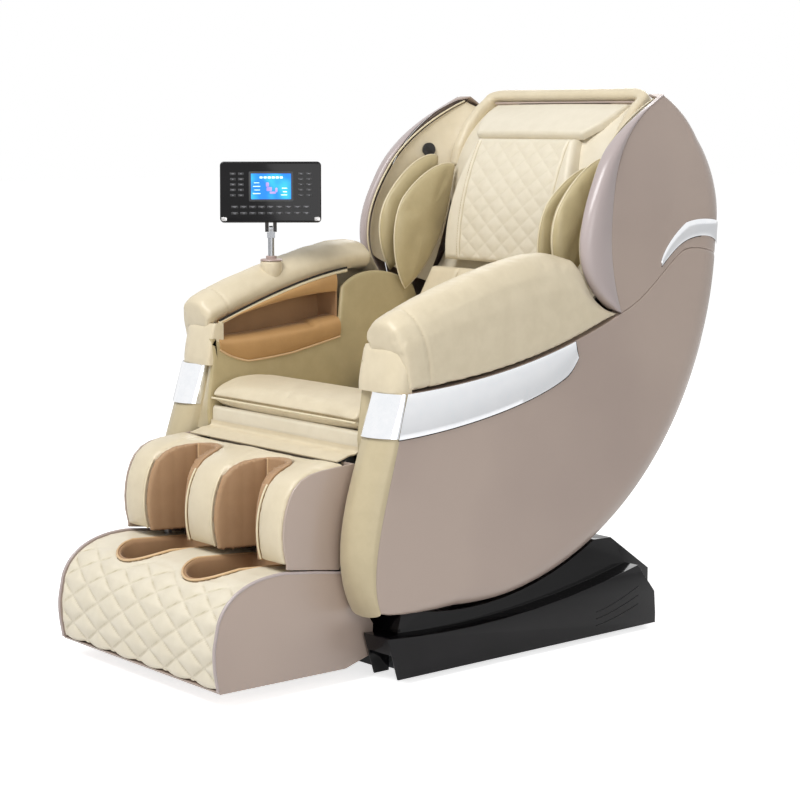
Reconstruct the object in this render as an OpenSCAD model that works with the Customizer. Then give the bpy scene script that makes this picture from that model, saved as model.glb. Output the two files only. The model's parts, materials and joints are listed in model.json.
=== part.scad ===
// Zero-gravity massage chair, standing upright as it is parked.
// +X is the sitter's left, -Y is the front and Z = 0 is the floor.
// The seat, back, arms and head sides are one capsule, which rocks back on arc rails on the base.

/* [Capsule shells] */
// Width over the two side shells
capsule_w = 770; // [740:2:800]
// Wall of the moulded shells
shell_wall = 4; // [3:0.5:5]
// Radius of the round underside and back
back_r = 740; // [735:1:744]
// Height of the axis that the capsule rocks about
rock_z = 874; // [868:1:880]
// Radius of the top of the back
head_r = 342; // [335:1:348]
// Rounding between the back and the sides
corner_r = 90; // [70:5:100]
// Rounding under the side shells
belly_r = 42; // [30:2:60]
// Wall of the curved cover behind the back
cover_wall = 4; // [3:0.5:6]
// How far the tops of the head sides lean in
wing_lean = 50; // [40:5:75]

/* [Seat] */
// Clear width between the arms
seat_gap = 516; // [500:2:520]
// Play between the seat cushion and each arm
seat_play = 4; // [2:1:8]
// Height of the seat cushion's front edge
seat_front_z = 535; // [528:1:545]
// Thickness of the back pads
pad_t = 40; // [30:2:44]
// Half width of the back pads
pad_half_w = 200; // [180:5:205]
// Height of the panel below the seat cushion
front_panel_h = 56; // [40:2:58]

/* [Arms] */
// Thickness of the arm pad above the arm slot
arm_pad_t = 32; // [24:2:36]
// Thickness of the arm between the arm slot and the outside
arm_wall_t = 40; // [34:1:44]
// Thickness of the inner arm panel
inner_panel_t = 8; // [5:1:9]
// Height of the bright strip along the side
strip_h = 89; // [60:1:100]
// How far the bright strips stand off the shell
strip_t = 2.6; // [1:0.2:3]

/* [Base] */
// Width of the base at its lower ledge
base_w = 742; // [700:2:760]
// Width of the raised middle of the base
cradle_w = 660; // [640:5:670]
// Wall of the base cover
base_wall = 4; // [3:0.5:6]
// Gap between the capsule and the top of the base
rock_gap = 15; // [12:1:18]
// Distance between the middles of the arc rails
rail_track = 400; // [380:5:420]
// Width of an arc rail
rail_w = 30; // [24:2:36]
// Height of the rubber feet
foot_h = 12; // [8:1:15]
// Radius of the rubber feet
foot_r = 22; // [16:1:26]
// Radius of the transport wheels
wheel_r = 30; // [24:1:32]
// Radius of the transport wheels' axles
axle_r = 6; // [4:0.5:8]

/* [Leg rest] */
// Play between the leg rest and each front trim
leg_play = 3.1; // [2:0.1:8]
// Wall of the leg rest's mouldings
leg_wall = 5; // [3:0.5:6]
// Half width of a calf channel
calf_half_w = 78; // [68:1:84]
// Distance between the middles of the calf channels
calf_pitch = 247; // [240:1:256]
// Thickness of the calf channels' lining
calf_lining_t = 12; // [8:1:16]
// Radius of the leg rest's hinge pins
leg_pin_r = 7; // [5:0.5:8]
// Radius of the rods that the foot rest slides on
slide_r = 8; // [6:0.5:10]
// Travel of the foot rest along the calf
foot_travel = 112; // [90:2:120]
// Radius of the foot rollers
roller_r = 19; // [14:1:20]

/* [Massage carriage] */
// Radius of the track that the massage carriage runs on
track_r = 620; // [612:1:628]
// Distance between the middles of the massage rails
massage_gauge = 330; // [316:2:340]
// Radius of a kneading ball
ball_r = 26; // [22:1:28]
// Radius of the kneading shaft
knead_r = 8; // [6:0.5:10]

/* [Control panel] */
// Width of the panel's case
panel_w = 226; // [200:2:230]
// Height of the panel's case
panel_h = 136; // [120:2:140]
// Thickness of the panel's case
panel_t = 22; // [16:1:26]
// How far the panel is turned towards the sitter's view
panel_yaw = 52; // [50:1:60]
// How far the panel leans back
panel_lean = 8; // [4:1:10]
// Radius of the panel's post
post_r = 7; // [5:0.5:9]

/* [Actuators] */
// Radius of an actuator's tube
tube_r = 20; // [16:1:22]
// Radius of an actuator's rod
rod_r = 10; // [7:0.5:11]

/* [Hidden] */
$fn = 64;

// Clearances: between trim pieces, in a running fit, and between pieces that move past each other
fit = 0.3;
run = 0.06;
past = 3;

// The capsule's rocking axis and its outline, as [y, z] points seen from +X
rock_c = [-65, rock_z];
head_c = [rock_c[0] + back_r - head_r, rock_z];
side_x = capsule_w / 2 - strip_t - fit;
rim_x = side_x - corner_r;
tip = [-345, 158];
arm_front = [-278, 588];
v_tip = [323, 711];
seam_rear = -4.6;
seam_back = on_arc(rock_c, back_r, seam_rear);

// Depth of the front trims across X, and the leg rest between them
trim_w = 94;
leg_w = 2 * (side_x - trim_w - leg_play);

// The leg rest's hinge, and the massage track's centre from the track's rear and its lowest height
leg_axis = [-312, 440];
track_c = [500 - track_r, 360 + track_r];
carriage_a = -28;

// ---- Curves and solids ------------------------------------------------------------------------

function mix(a, b, t) = a + (b - a) * t;
function on_arc(c, r, a) = [c[0] + r * cos(a), c[1] + r * sin(a)];
function arc(c, r, a0, a1, n) = [for (i = [0:n]) on_arc(c, r, mix(a0, a1, i / n))];
function bez_at(p, t) =
    pow(1 - t, 3) * p[0] + 3 * t * pow(1 - t, 2) * p[1] + 3 * t * t * (1 - t) * p[2] + pow(t, 3) * p[3];
function bez(p, n) = [for (i = [0:n]) bez_at(p, i / n)];
function rest(a) = [for (i = [1:len(a) - 1]) a[i]];
function back(a) = [for (i = [len(a) - 1:-1:0]) a[i]];
function unit(v) = v / norm(v);
// Inward normals of a closed outline that runs anticlockwise
function normals(p) = [
    for (i = [0:len(p) - 1])
        let (d = unit(p[(i + 1) % len(p)] - p[(i + len(p) - 1) % len(p)])) [-d[1], d[0]]
];
function inset(p, d) = let (n = normals(p)) [for (i = [0:len(p) - 1]) p[i] + n[i] * d];
function at_x(p, x) = [for (q = p) [x, q[0], q[1]]];
function mean(p) = [for (k = [0:len(p[0]) - 1]) [for (q = p) q[k]] * [for (q = p) 1] / len(p)];

// A solid through closed rings with the same number of points, turned so that its faces look outwards.
// Thin bent ends are cut across into strips.
module loft(rings, strips = false) {
    n = len(rings[0]);
    m = len(rings);
    p = [for (ring = rings) each ring];
    ends = strips ? [for (j = [0:n / 2 - 2]) [j, j + 1, n - 2 - j, n - 1 - j]] : [[for (j = [0:n - 1]) j]];
    sides = [
        for (i = [0:m - 2], j = [0:n - 1], k = [0, 1])
            k == 0 ? [i * n + j, (i + 1) * n + j, (i + 1) * n + (j + 1) % n]
                : [i * n + j, (i + 1) * n + (j + 1) % n, i * n + (j + 1) % n]
    ];
    fans = [for (j = [1:n - 2]) each [[0, j, j + 1], [(m - 1) * n, (m - 1) * n + j + 1, (m - 1) * n + j]]];
    volume = [for (f = concat(sides, fans)) (p[f[0]] - p[0]) * cross(p[f[1]] - p[0], p[f[2]] - p[0])];
    faces = concat(ends, sides, [for (f = ends) [for (j = back(f)) (m - 1) * n + j]]);
    polyhedron(p, volume * [for (v = volume) 1] < 0 ? faces : [for (f = faces) back(f)]);
}

// A flat plate from x0 to x1 with an outline in [y, z]
module side_plate(x0, x1, outline)
    translate([x0, 0, 0]) rotate([90, 0, 90]) linear_extrude(x1 - x0) polygon(outline);

module x_rod(x0, x1, r, c) translate([x0, c[0], c[1]]) rotate([0, 90, 0]) cylinder(h = x1 - x0, r = r);

// A ring segment about an X axis through c
module x_arc(x0, x1, r0, r1, c, a0, a1)
    translate([0, c[0], c[1]]) rotate([a0, 0, 0]) rotate([90, 0, 90])
        rotate_extrude(angle = a1 - a0, $fn = 360) translate([r0, x0]) square([r1 - r0, x1 - x0]);

module mirrored() {
    children();
    mirror([1, 0, 0]) children();
}

// A cushion: an outline in [y, z] that swells between x0 and x1
module lens(x0, x1, outline, edge) {
    c = mean(outline);
    loft([
        for (s = [[0, 0.55], [0.15, 0.85], [0.35, 1], [0.65, 1], [0.85, 0.85], [1, 0.55]])
            at_x([for (q = outline) c + (q - c) * mix(edge, 1, (s[1] - 0.55) / 0.45)], mix(x0, x1, s[0]))
    ]);
}

// A pad along a [y, z] face line: w are half widths, t is its thickness behind the face
module pad_on(face, w, t, r = 14) {
    n = len(face) - 1;
    loft([
        for (i = [0:n])
            let (
                d = unit(face[min(i + 1, n)] - face[max(i - 1, 0)]),
                b = [d[1], -d[0]],
                hw = w[i],
                at = function (x, k) [x, face[i][0] + b[0] * k, face[i][1] + b[1] * k]
            ) [
                at(-hw + r, 0), at(-hw, r), at(-hw, t - 4), at(-hw + 4, t),
                at(hw - 4, t), at(hw, t - 4), at(hw, r), at(hw - r, 0)
            ]
    ]);
}

// ---- Capsule shells ---------------------------------------------------------------------------

// Curves that neighbouring pieces share
seam_arm = [v_tip, [120, 625], [-80, 595], arm_front];
seam_low = [v_tip, [410, 742], [450, 800], [512, 836]];
seam_high = [[512, 836], [545, 850], [610, 836], seam_back];
seam_r = 3;
panel_front = [arm_front, [-300, 440], [-390, 260], tip];
nose_front = [[-303, 588], [-352, 440], [-448, 280], [-350, 144]];
wing_top = on_arc(head_c, head_r, 62);
wing_edge_high = [wing_top, [400, 1130], [340, 1080], [310, 1000]];
wing_edge_low = [[310, 1000], [285, 930], [275, 830], v_tip];
rim_edge_high = [wing_top - [12, 9], [400, 1135], [310, 1080], [268, 1007]];
rim_edge_low = [[268, 1007], [205, 900], [178, 800], v_tip - [23, -11]];
seam_z = back(bez(seam_arm, 12));
rim_z = [for (i = [6:14]) bez_at(rim_edge_low, i / 14), v_tip];

function wing_x(z) = side_x - wing_lean * pow(max(0, z - 900) / 290, 1.7);

// How far a point near the back's round outline lies inside the flat side, from the corner's rounding
function corner_in(q) =
    let (m = max(0, corner_r - max(0, q[1] > rock_z ? head_r - norm(q - head_c) : back_r - norm(q - rock_c))))
        q[0] > 400 ? corner_r - sqrt(corner_r * corner_r - m * m) : 0;

// A moulding with rounded edges, open on its inner side. Its outline points are [y, z, rounding, depth],
// where a rounding under 0 marks a seam, which follows the rear corner. face_x gives its outer face.
// It lies on the -X side, so its rings run inwards from the face.
module moulding(outline, wall, face_x) {
    p = [for (q = outline) [q[0], q[1]]];
    n = normals(p);
    c = mean(p);
    ring = function (a, w) [
        for (i = [0:len(p) - 1])
            let (
                seam = outline[i][2] < 0,
                r = seam ? seam_r : max(outline[i][2] - w, 0.5),
                q = p[i] + n[i] * (w + r * (1 - cos(a)))
            ) [-max(rim_x, face_x(q[1]) - w - r * (1 - sin(a)) - (seam ? corner_in(q) : 0)), q[0], q[1]]
    ];
    face = function (s, w) [
        for (q = ring(90, w))
            let (y = mix(c[0], q[1], s), z = mix(c[1], q[2], s)) [-(face_x(z) - w - corner_in([y, z])), y, z]
    ];
    rim = function (w) [
        for (i = [0:len(p) - 1])
            let (q = p[i] + n[i] * w, seam = outline[i][2] < 0, in = seam ? corner_in(q) : 0)
                [-max(rim_x, face_x(q[1]) - outline[i][3] - in), q[0], q[1]]
    ];
    loft([
        face(0.03, 0), face(0.84, 0), for (a = [90:-22.5:0]) ring(a, 0), rim(0),
        rim(wall), for (a = [0:22.5:90]) ring(a, wall), face(0.84, wall), face(0.03, wall)
    ]);
}

side_outline = [
    for (p = bez(panel_front, 9)) [p[0], p[1], 3, 50],
    for (p = rest(bez([tip, [-320, 146], [-230, rock_z - back_r + 3], on_arc(rock_c, back_r, -95)], 4)))
        [p[0], p[1], mix(6, belly_r, (p[0] + 345) / 215), 60],
    for (p = rest(arc(rock_c, back_r, -95, -20, 20)))
        [p[0], p[1], mix(belly_r, corner_r, max(0, p[0]) / 640), corner_r],
    for (p = rest(arc(rock_c, back_r, -20, seam_rear, 4))) [p[0], p[1], corner_r, corner_r],
    for (p = rest(back(bez(seam_high, 6)))) [p[0], p[1], -1, 30],
    for (p = rest(back(bez(seam_low, 6)))) [p[0], p[1], -1, 30],
    for (i = [1:11]) let (p = bez_at(seam_arm, i / 12)) [p[0], p[1], -1, 30]
];

module side_shell() moulding(side_outline, shell_wall, function (z) side_x);

wing_outline = [
    for (p = bez(seam_low, 6)) [p[0], p[1] + fit, -1, 30],
    for (p = rest(bez(seam_high, 6))) [p[0], p[1] + fit, -1, 30],
    for (p = arc(head_c, head_r, -4, 62, 15))
        [p[0], p[1], mix(corner_r, 26, max(0, p[1] - rock_z) / 300), wing_x(p[1]) - rim_x],
    for (p = rest(bez(wing_edge_high, 7))) [p[0], p[1], 2, 8],
    for (i = [1:6]) let (p = bez_at(wing_edge_low, i / 7)) [p[0], p[1], 2, 8]
];

module wing() moulding(wing_outline, shell_wall, function (z) wing_x(z));

// The rolled front lip of a head side
module wing_rim() {
    edge = [for (p = concat(bez(wing_edge_high, 7), rest(bez(wing_edge_low, 7)))) p - [fit, 0]];
    lip = concat(bez(rim_edge_high, 7), rest(bez(rim_edge_low, 7)));
    sec = [[0, 0], [-6, 0.5], [0, 0.86], [12, 1], [26, 0.97], [28, 0.6], [8, 0.55], [8, 0]];
    loft([
        for (i = [0:len(edge) - 1]) [
            for (k = [0:len(sec) - 1])
                let (q = mix(edge[i], lip[i], sec[k][1]), w = min(1, norm(edge[i] - lip[i]) / 30))
                    [wing_x(edge[i][1]) - sec[k][0] * w, q[0], q[1]]
        ]
    ]);
}

// Front trim: the padded nose between the side shell's front edge and the inside of the arm
module shell_trim() {
    front = bez(nose_front, 9);
    rear = [for (p = bez(panel_front, 9)) p - [fit, 0]];
    sec = [
        [-trim_w, 0.9], [-88, 0.45], [-74, 0.12], [-52, 0], [-36, 0.08], [-16, 0.35], [-3, 0.7], [0, 0.92]
    ];
    loft([
        for (s = sec) at_x(concat([for (i = [0:9]) mix(front[i], rear[i], s[1])], back(rear)), side_x + s[0])
    ], strips = true);
}

// ---- Arms ---------------------------------------------------------------------------------------

crest_front = [[-312, 728], [-200, 785], [20, 845], [105, 850]];
crest_rear = [[105, 850], [200, 852], [270, 800], [340, 706]];
crest_z = [each bez(crest_front, 8), each rest(bez(crest_rear, 8))];
inner_z = [
    each bez([[-316, 692], [-180, 745], [0, 812], [150, 815]], 8),
    each rest(bez([[150, 815], [220, 812], [280, 770], [330, 706]], 6))
];
slot_rear = 62;
slot_floor = bez([[-296, 652], [-240, 628], [-100, 646], [slot_rear, 668]], 8);
arm_in_x = seat_gap / 2 + inner_panel_t + fit;
slot_x = [arm_in_x, side_x - arm_wall_t - 2.4];

module arm_pad() {
    ys = [-306, -294, -262, -200, -130, -60, 10, 80, 130, 165, 200, 222, 246, 270, 296, 316];
    loft([
        for (k = [0:len(ys) - 1])
            let (
                y = ys[k],
                lean = 0.243 * max(0, 1 - k / 4),
                yc = y + 20,
                s = lookup(y + 20 * max(0, 1 - k / 4), seam_z) + fit + max(0, 1.6 - k * 0.3),
                c = min(lookup(y, crest_z), y > 200 ? lookup(y, rim_z) - past : 900),
                g = k == 0 ? 8 : 0,
                xi = y > 170 ? mix(arm_in_x, 322, min(1, (y - 170) / 35)) : arm_in_x,
                e = min(lookup(y, inner_z), c - 6),
                low = max(s, min(e - arm_pad_t - 8, c - 40)),
                sec = [
                    [side_x - 22, s], [side_x - g, s], [side_x + 2 - g, mix(s, c, 0.3)],
                    [side_x - g, mix(s, c, 0.6)], [side_x - 12 - g, mix(s, c, 0.86)],
                    [mix(xi, side_x, 0.66), c - 3 - g],
                    [mix(xi, side_x, 0.5), c - g], [mix(xi, side_x, 0.25), mix(e, c, 0.75) - g],
                    [xi + g, e - g], [xi + g, e - 12], [xi + 14, max(s + 2, e - arm_pad_t)],
                    [side_x - arm_wall_t, max(s + 2, low)], [side_x - 24, max(s + 1, mix(s, low, 0.6))]
                ]
            )
            [for (q = sec) [q[0], y - lean * (q[1] - 728), q[1]]]
    ]);
}

// The right arm pad has a pocket for the control panel's mount
module arm_pad_right() color("#dccfb2") difference() {
    mirror([1, 0, 0]) arm_pad();
    translate([post_c[0], post_c[1], arm_crest - 26 - fit]) cylinder(h = 60, r = 18 + fit);
}

// Lining of the arm slot: floor, outer wall and rear end
module arm_lining() {
    roof = [for (p = back(slot_floor)) [p[0], max(p[1] + 3, lookup(p[0] - 14, inner_z) - arm_pad_t - 12)]];
    floor_under = [for (p = back(slot_floor)) p - [0, 5]];
    side_plate(slot_x[0], slot_x[1], concat(slot_floor, floor_under));
    side_plate(slot_x[1] - 4, slot_x[1], concat(back(floor_under), roof));
    side_plate(slot_x[0], slot_x[1] - 2, [
        [slot_rear - 4, 665], [slot_rear, 665], [slot_rear, 750], [slot_rear - 4, 750]
    ]);
}

module inner_panel() {
    x0 = seat_gap / 2;
    outline = concat(
        [[-303, 449], [100, 449], [180, 500], [262, 600], [300, 700]],
        back(bez([[70, 740], [120, 792], [230, 780], [285, 735]], 5)),
        [for (p = back(slot_floor)) p - [0, 6]],
        [[-292, 600], [-300, 540], [-306, 489]]
    );
    side_plate(x0, x0 + inner_panel_t, outline);
}

// Bright strip along the side, with its return round the front trim
module chrome_strip() {
    upper = [for (i = [0:9]) bez_at(back(seam_arm), i * 0.08) - [0, fit]];
    drop = [0, strip_h];
    lower = bez([[-301, 588] - drop, [-150, 592] - drop, [100, 628] - drop, [197, 698] - drop], 9);
    side_plate(side_x + fit, side_x + fit + strip_t, concat(lower, back(upper)));
    sec = [
        [1 - trim_w, 0.84], [-88, 0.4], [-74, 0.06], [-52, -0.06], [-36, 0.02], [-16, 0.28], [-3, 0.62],
        [2, 0.9]
    ];
    bottom = 0.19;
    loft([
        for (i = [5:-1:0])
            let (
                t = bottom * i / 5, f = bez_at(nose_front, t), r = bez_at(panel_front, t), n = unit(r - f),
                at = function (s, k) let (q = mix(f, r, s[1]) - n * k) [side_x + s[0], q[0], q[1]]
            )
            concat([for (s = sec) at(s, 1.6)], [for (s = back(sec)) at(s, 1.6 + strip_t)])
    ], strips = true);
}

// ---- Back and head ----------------------------------------------------------------------------

module back_cover() color("#a3938a") {
    skin = function (w) concat(arc(rock_c, back_r - w, -60, -3, 19), arc(head_c, head_r - w, 0, 53, 14));
    lip = function (w) arc(head_c, head_r - w, 50, 57, 4);
    side_plate(-rim_x, rim_x, concat(skin(0), back(skin(cover_wall))));
    // Lip below the top of the head frame
    side_plate(-232, 232, concat(lip(-0.7), back(lip(3))));
}

arch_path = [[425, 1010], [434, 1055], [458, 1100], [492, 1138], [528, 1164]];

// Padded frame round the head: up one side, across the top and down the other
module head_arch() color("#e8dcbc") {
    corner = [for (a = [20:17.5:90]) [252 - 50 + 50 * cos(a), 528 + 14 * sin(a) - 8, 1162 + 12 * sin(a)]];
    half = concat([for (p = arch_path) [lookup(p[1], [[1010, 262], [1164, 252]]), p[0], p[1]]], corner);
    path = concat(half, [for (p = back(half)) [-p[0], p[1], p[2]]]);
    n = len(path) - 1;
    fwd = unit([0, -0.82, 0.57]);
    loft([
        for (i = [0:n])
            let (
                d = unit(path[min(i + 1, n)] - path[max(i - 1, 0)]),
                side = unit(cross(d, fwd)),
                nrm = cross(side, d)
            )
            [for (q = [[-14, -12], [-8, -18], [8, -18], [14, -12], [14, 14], [-14, 14]])
                path[i] + side * q[0] - nrm * q[1]]
    ]);
}

module head_pad() color("#e8dcbc") {
    pad_on([[404, 1090], [432, 1110], [470, 1134], [512, 1156]], [172, 200, 212, 214], 20, 8);
}

back_face = bez([[326, 796], [320, 900], [352, 1000], [398, 1082]], 8);
lumbar_face = bez([[128, 538], [190, 596], [262, 660], [298, 786]], 7);

module back_pad() color("#e5dbbf") {
    pad_on(back_face, [for (i = [0:8]) mix(pad_half_w, 160, pow(i / 8, 2))], pad_t);
}

module lumbar_pad() color("#d9ccaa") {
    pad_on(lumbar_face, [for (i = [0:7]) pad_half_w + 44 - 30 * pow(i / 7, 3)], pad_t);
}

module shoulder_pads() {
    inner = [
        each bez([[242, 730], [200, 790], [200, 890], [236, 940]], 6),
        each rest(bez([[236, 940], [280, 990], [350, 1030], [396, 1016]], 6)),
        each rest(bez([[396, 1016], [372, 900], [350, 800], [242, 730]], 7))
    ];
    outer = [
        each bez([[236, 772], [196, 830], [196, 900], [232, 946]], 6),
        each rest(bez([[232, 946], [270, 1000], [340, 1050], [384, 1036]], 6)),
        each rest(bez([[384, 1036], [372, 930], [340, 840], [236, 772]], 7))
    ];
    lens(222, 256, [for (i = [0:len(inner) - 2]) inner[i]], 0.8);
    lens(266, 308, [for (i = [0:len(outer) - 2]) outer[i]], 0.8);
    // Backing between the two bags and on to the lining
    x_rod(250, 272, 40, [300, 890]);
    x_rod(300, 329.8, 14, [300, 880]);
}

module wing_lining() {
    lip = [for (p = bez(rim_edge_high, 6)) p, for (i = [1:6]) bez_at(rim_edge_low, i / 9)];
    rear = [
        [508, 1150], each rest(back(arch_path)), [424, 985], [420, 950], [412, 910], [400, 870], [386, 830],
        [370, 790], [352, 760], [340, 740]
    ];
    loft([
        for (i = [len(lip) - 1:-1:0])
            let (
                f = lip[i] + [14, -4], b = rear[i] + [4, 0], x0 = wing_x(lip[i][1]) - 33.4, x1 = 281,
                m = mix(f, b, 0.55)
            )
            [
                [x0, f[0], f[1]], [mix(x0, x1, 0.3) , m[0], m[1]], [x1, b[0], b[1]],
                [x1, b[0] + 5, b[1]], [mix(x0, x1, 0.3) + 5, m[0] + 3, m[1]], [x0 + 5, f[0] + 2, f[1]]
            ]
    ]);
}

// Bright accent that follows the seam of a head side round to the back
module wing_chrome() {
    low = [
        each bez([[445, 806], [482, 840], [510, 866], [570, 868]], 6),
        each rest(bez([[570, 868], [600, 868], [625, 858], [644, 846]], 4))
    ];
    high = [
        each bez([[443, 812], [440, 826], [470, 868], [520, 898]], 6),
        each rest(bez([[520, 898], [560, 908], [600, 906], [642, 896]], 4))
    ];
    // Stands off the facets of the rounded corner behind y = 564
    off = function (y) fit + 3.3 * min(1, max(0, (y - 564) / 36));
    at = function (q, k) [wing_x(q[1]) - corner_in(q) + off(q[0]) + k, q[0], q[1]];
    loft([for (i = [0:len(low) - 1]) let (l = low[i], h = high[i], m = (l + h) / 2)
        [at(l, 0), at(m, 0.6), at(h, 0), at(h, strip_t - 0.6), at(m, strip_t), at(l, strip_t - 0.6)]]);
}

module speaker() translate([314.9, 380, 1050]) rotate([0, -90, 14.5]) cylinder(h = 6, r = 16);

// ---- Seat ---------------------------------------------------------------------------------------

seat_top = concat(
    bez([[-306, seat_front_z - 10], [-300, seat_front_z + 12], [-250, 566], [-190, 562]], 5),
    rest(bez([[-190, 562], [-100, 556], [-60, 508], [30, 505]], 5)),
    [[78, 506]]
);
seat_bottom = [[-300, 512], [-262, 486], [40, 470], [86, 476]];

module seat_cushion() color("#d9ccaa") {
    outline = concat(seat_bottom, back(seat_top));
    hw = seat_gap / 2 - seat_play;
    loft([
        for (s = [[-1, 7], [-0.985, 2], [-0.95, 0], [0.95, 0], [0.985, 2], [1, 7]])
            at_x(inset(outline, s[1]), s[0] * hw)
    ]);
}

module seat_front_panel() color("#cfc29f") {
    z0 = 449;
    side_plate(-seat_gap / 2 + fit, seat_gap / 2 - fit, [
        [-290, z0], [-274, z0], [-274, z0 + front_panel_h - 13], [-290, z0 + front_panel_h - 2],
        [-297, z0 + front_panel_h - 8], [-298, z0 + 8]
    ]);
}

// Board under the seat cushion
module seat_pan() color("#b09060") side_plate(-seat_gap / 2 + 8, seat_gap / 2 - 8, [
    [-273.7, 477], [40, 461], [84, 467], [84, 475], [40, 469.5], [-262, 485.4], [-273.7, 493]
]);

// ---- Frames -----------------------------------------------------------------------------------

beam_x = massage_gauge / 2 + 42;
beam_w = 24;
lug_w = 10;
rail_x = rail_track / 2;
shoe_angles = [-81, -64];
rail_arc = [-104, -59];

// Linkage points at rest, as [y, z]
rock_lug = on_arc(rock_c, 715, -85);
rock_foot = [415, 78];
leg_foot = [0, 250];
leg_lug = [-330, 310];

function link_angle(from, to) = atan2(to[1] - from[1], to[0] - from[0]);

module seat_frame() color("#666666") {
    mirrored() {
        x_arc(beam_x, beam_x + beam_w, track_r + 30, track_r + 62, track_c, -104, 8);
        x_arc(rail_x - 12, rail_x + 12, back_r - 62, back_r - 40, rock_c, -100, -59);
        // Posts between the lower and the upper beams
        for (y = [-150, 0, 150]) {
            low = rock_z - sqrt(pow(back_r - 52, 2) - pow(y - rock_c[0], 2)) + 2;
            high = track_c[1] - sqrt(pow(track_r + 46, 2) - pow(y - track_c[0], 2)) - 2;
            x0 = min(rail_x + 8, beam_x + 1);
            translate([x0, y - 16, low]) cube([max(beam_x + 15, rail_x - 6) - x0, 32, high - low]);
        }
        // Lug of the leg rest's hinge, with its pin
        x_rod(beam_x + beam_w + 2, beam_x + beam_w + 2 + lug_w, 12, leg_axis);
        side_plate(beam_x + beam_w + 2, beam_x + beam_w + 2 + lug_w, [
            leg_axis + [-11, -5], leg_axis + [11, 5], [-252, 370], [-240, 330], [-282, 322]
        ]);
        side_plate(beam_x + beam_w - 4, beam_x + beam_w + 2 + lug_w, [
            [-272, 350], [-240, 345], [-240, 330], [-276, 326]
        ]);
        x_rod(beam_x + beam_w - 10, beam_x + beam_w + 6, leg_pin_r, leg_axis);
        // Uprights under the seat pan
        side_plate(beam_x + 4, beam_x + 14, [[-262, 325], [-232, 325], [-226, 474.2], [-250, 474.2]]);
        side_plate(beam_x + 4, beam_x + 14, [[6, 330], [40, 334], [40, 460.7], [16, 460.7]]);
    }
    x_rod(-side_x + shell_wall, side_x - shell_wall, 11, [-238, 392]);
    for (a = [-64, -28, 4]) {
        c = on_arc(track_c, track_r + 78, a);
        half = wing_x(c[1] + 11) - shell_wall - (c[1] > 900 ? 3 : 0);
        x_rod(-half, half, 11, c);
        mirrored() x_arc(beam_x + 4, beam_x + 14, track_r + 40, track_r + 76, track_c, a - 1.2, a + 1.2);
    }
    // Cross tubes that carry the actuators
    x_rod(-rail_x - 10, rail_x + 10, 8, leg_foot);
    x_rod(-rail_x, rail_x, 9, on_arc(rock_c, 681, -85));
    // Slotted lug of the rocking actuator
    mirrored() difference() {
        side_plate(14, 20, [
            rock_lug + [-12, 40], rock_lug + [10, 40], rock_lug + [14, -6], rock_lug + [7, -12],
            rock_lug + [-8, -12], rock_lug + [-14, -6]
        ]);
        side_plate(10, 24, [
            rock_lug + [-6.6, -5.3], rock_lug + [5.5, -5.3], rock_lug + [5.5, 16.8], rock_lug + [-6.6, 16.8]
        ]);
    }
}

module glide_shoes() color("#dddddd")
    mirrored() for (a = shoe_angles)
        x_arc(rail_x - 13, rail_x + 13, back_r - 40, back_r + 4 - fit, rock_c, a - 4, a + 4);

// Channel rails that open inwards, with their brackets and the ribs behind the pads
module massage_rails() color("#aaaaaa") mirrored() {
    difference() {
        x_arc(massage_gauge / 2 - 13, massage_gauge / 2 + 13, track_r - 16, track_r + 16, track_c, -74, 11);
        x_arc(massage_gauge / 2 - 14, massage_gauge / 2 + 9, track_r - 12, track_r + 12, track_c, -75, 12);
    }
    for (a = [-70, -45, -20, 4]) {
        x_arc(massage_gauge / 2 + 12, beam_x - fit, track_r, track_r + 12, track_c, a - 1.5, a + 1.5);
        x_arc(beam_x - 6, beam_x - fit, track_r, track_r + 50, track_c, a - 1.5, a + 1.5);
    }
    rib(lumbar_face, 3, 6);
    rib(back_face, 0, 4);
}

// A rib from a massage rail to the rear of a pad, between two points of the pad's face
module rib(face, from, to) {
    gap = pad_t + 0.3;
    pad_rear = [
        for (i = [from:to]) let (d = unit(face[i + 1] - face[max(i - 1, 0)])) face[i] + [d[1], -d[0]] * gap
    ];
    a = function (q) atan2(q[1] - track_c[1], q[0] - track_c[0]);
    side_plate(massage_gauge / 2 + 7, massage_gauge / 2 + 13, concat(
        pad_rear, back(arc(track_c, track_r - 14, a(pad_rear[0]), a(pad_rear[to - from]), 8))
    ));
}

pump_x = 50;

// Air pump with its motor, hung under the seat pan
module air_pump() color("#444444") {
    translate([pump_x, -140, 380]) cube([120, 100, 84.6]);
    translate([pump_x + 60, -152, 420]) rotate([-90, 0, 0]) cylinder(h = 124, r = 30);
}

carriage_w = massage_gauge / 2 - 20;
wheel_turns = [-7, 7];
carriage_span = [carriage_a - 9, carriage_a + 9];

module carriage_frame() color("#777777") {
    mirrored() difference() {
        x_arc(carriage_w - 5, carriage_w, track_r - 34, track_r + 56, track_c, carriage_span[0], carriage_span[1]);
        x_rod(carriage_w - 10, carriage_w + 5, knead_r + run, knead_c);
    }
    bridge = carriage_w - 5;
    x_arc(-bridge, bridge, track_r + 50, track_r + 54, track_c, carriage_span[0], carriage_span[1]);
    for (a = wheel_turns) mirrored() {
        x_rod(carriage_w, carriage_w + 14, 5, on_arc(track_c, track_r, carriage_a + a));
        x_rod(carriage_w + 12, carriage_w + 26, 11.5, on_arc(track_c, track_r, carriage_a + a));
    }
}

knead_c = on_arc(track_c, track_r + 6, carriage_a);

module knead_shaft() color("#999999") {
    x_rod(-carriage_w + fit, carriage_w - fit, knead_r, knead_c);
    mirrored() x_rod(66, 78, 20, knead_c);
    x_rod(-14, 14, 16, knead_c);
}

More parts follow.
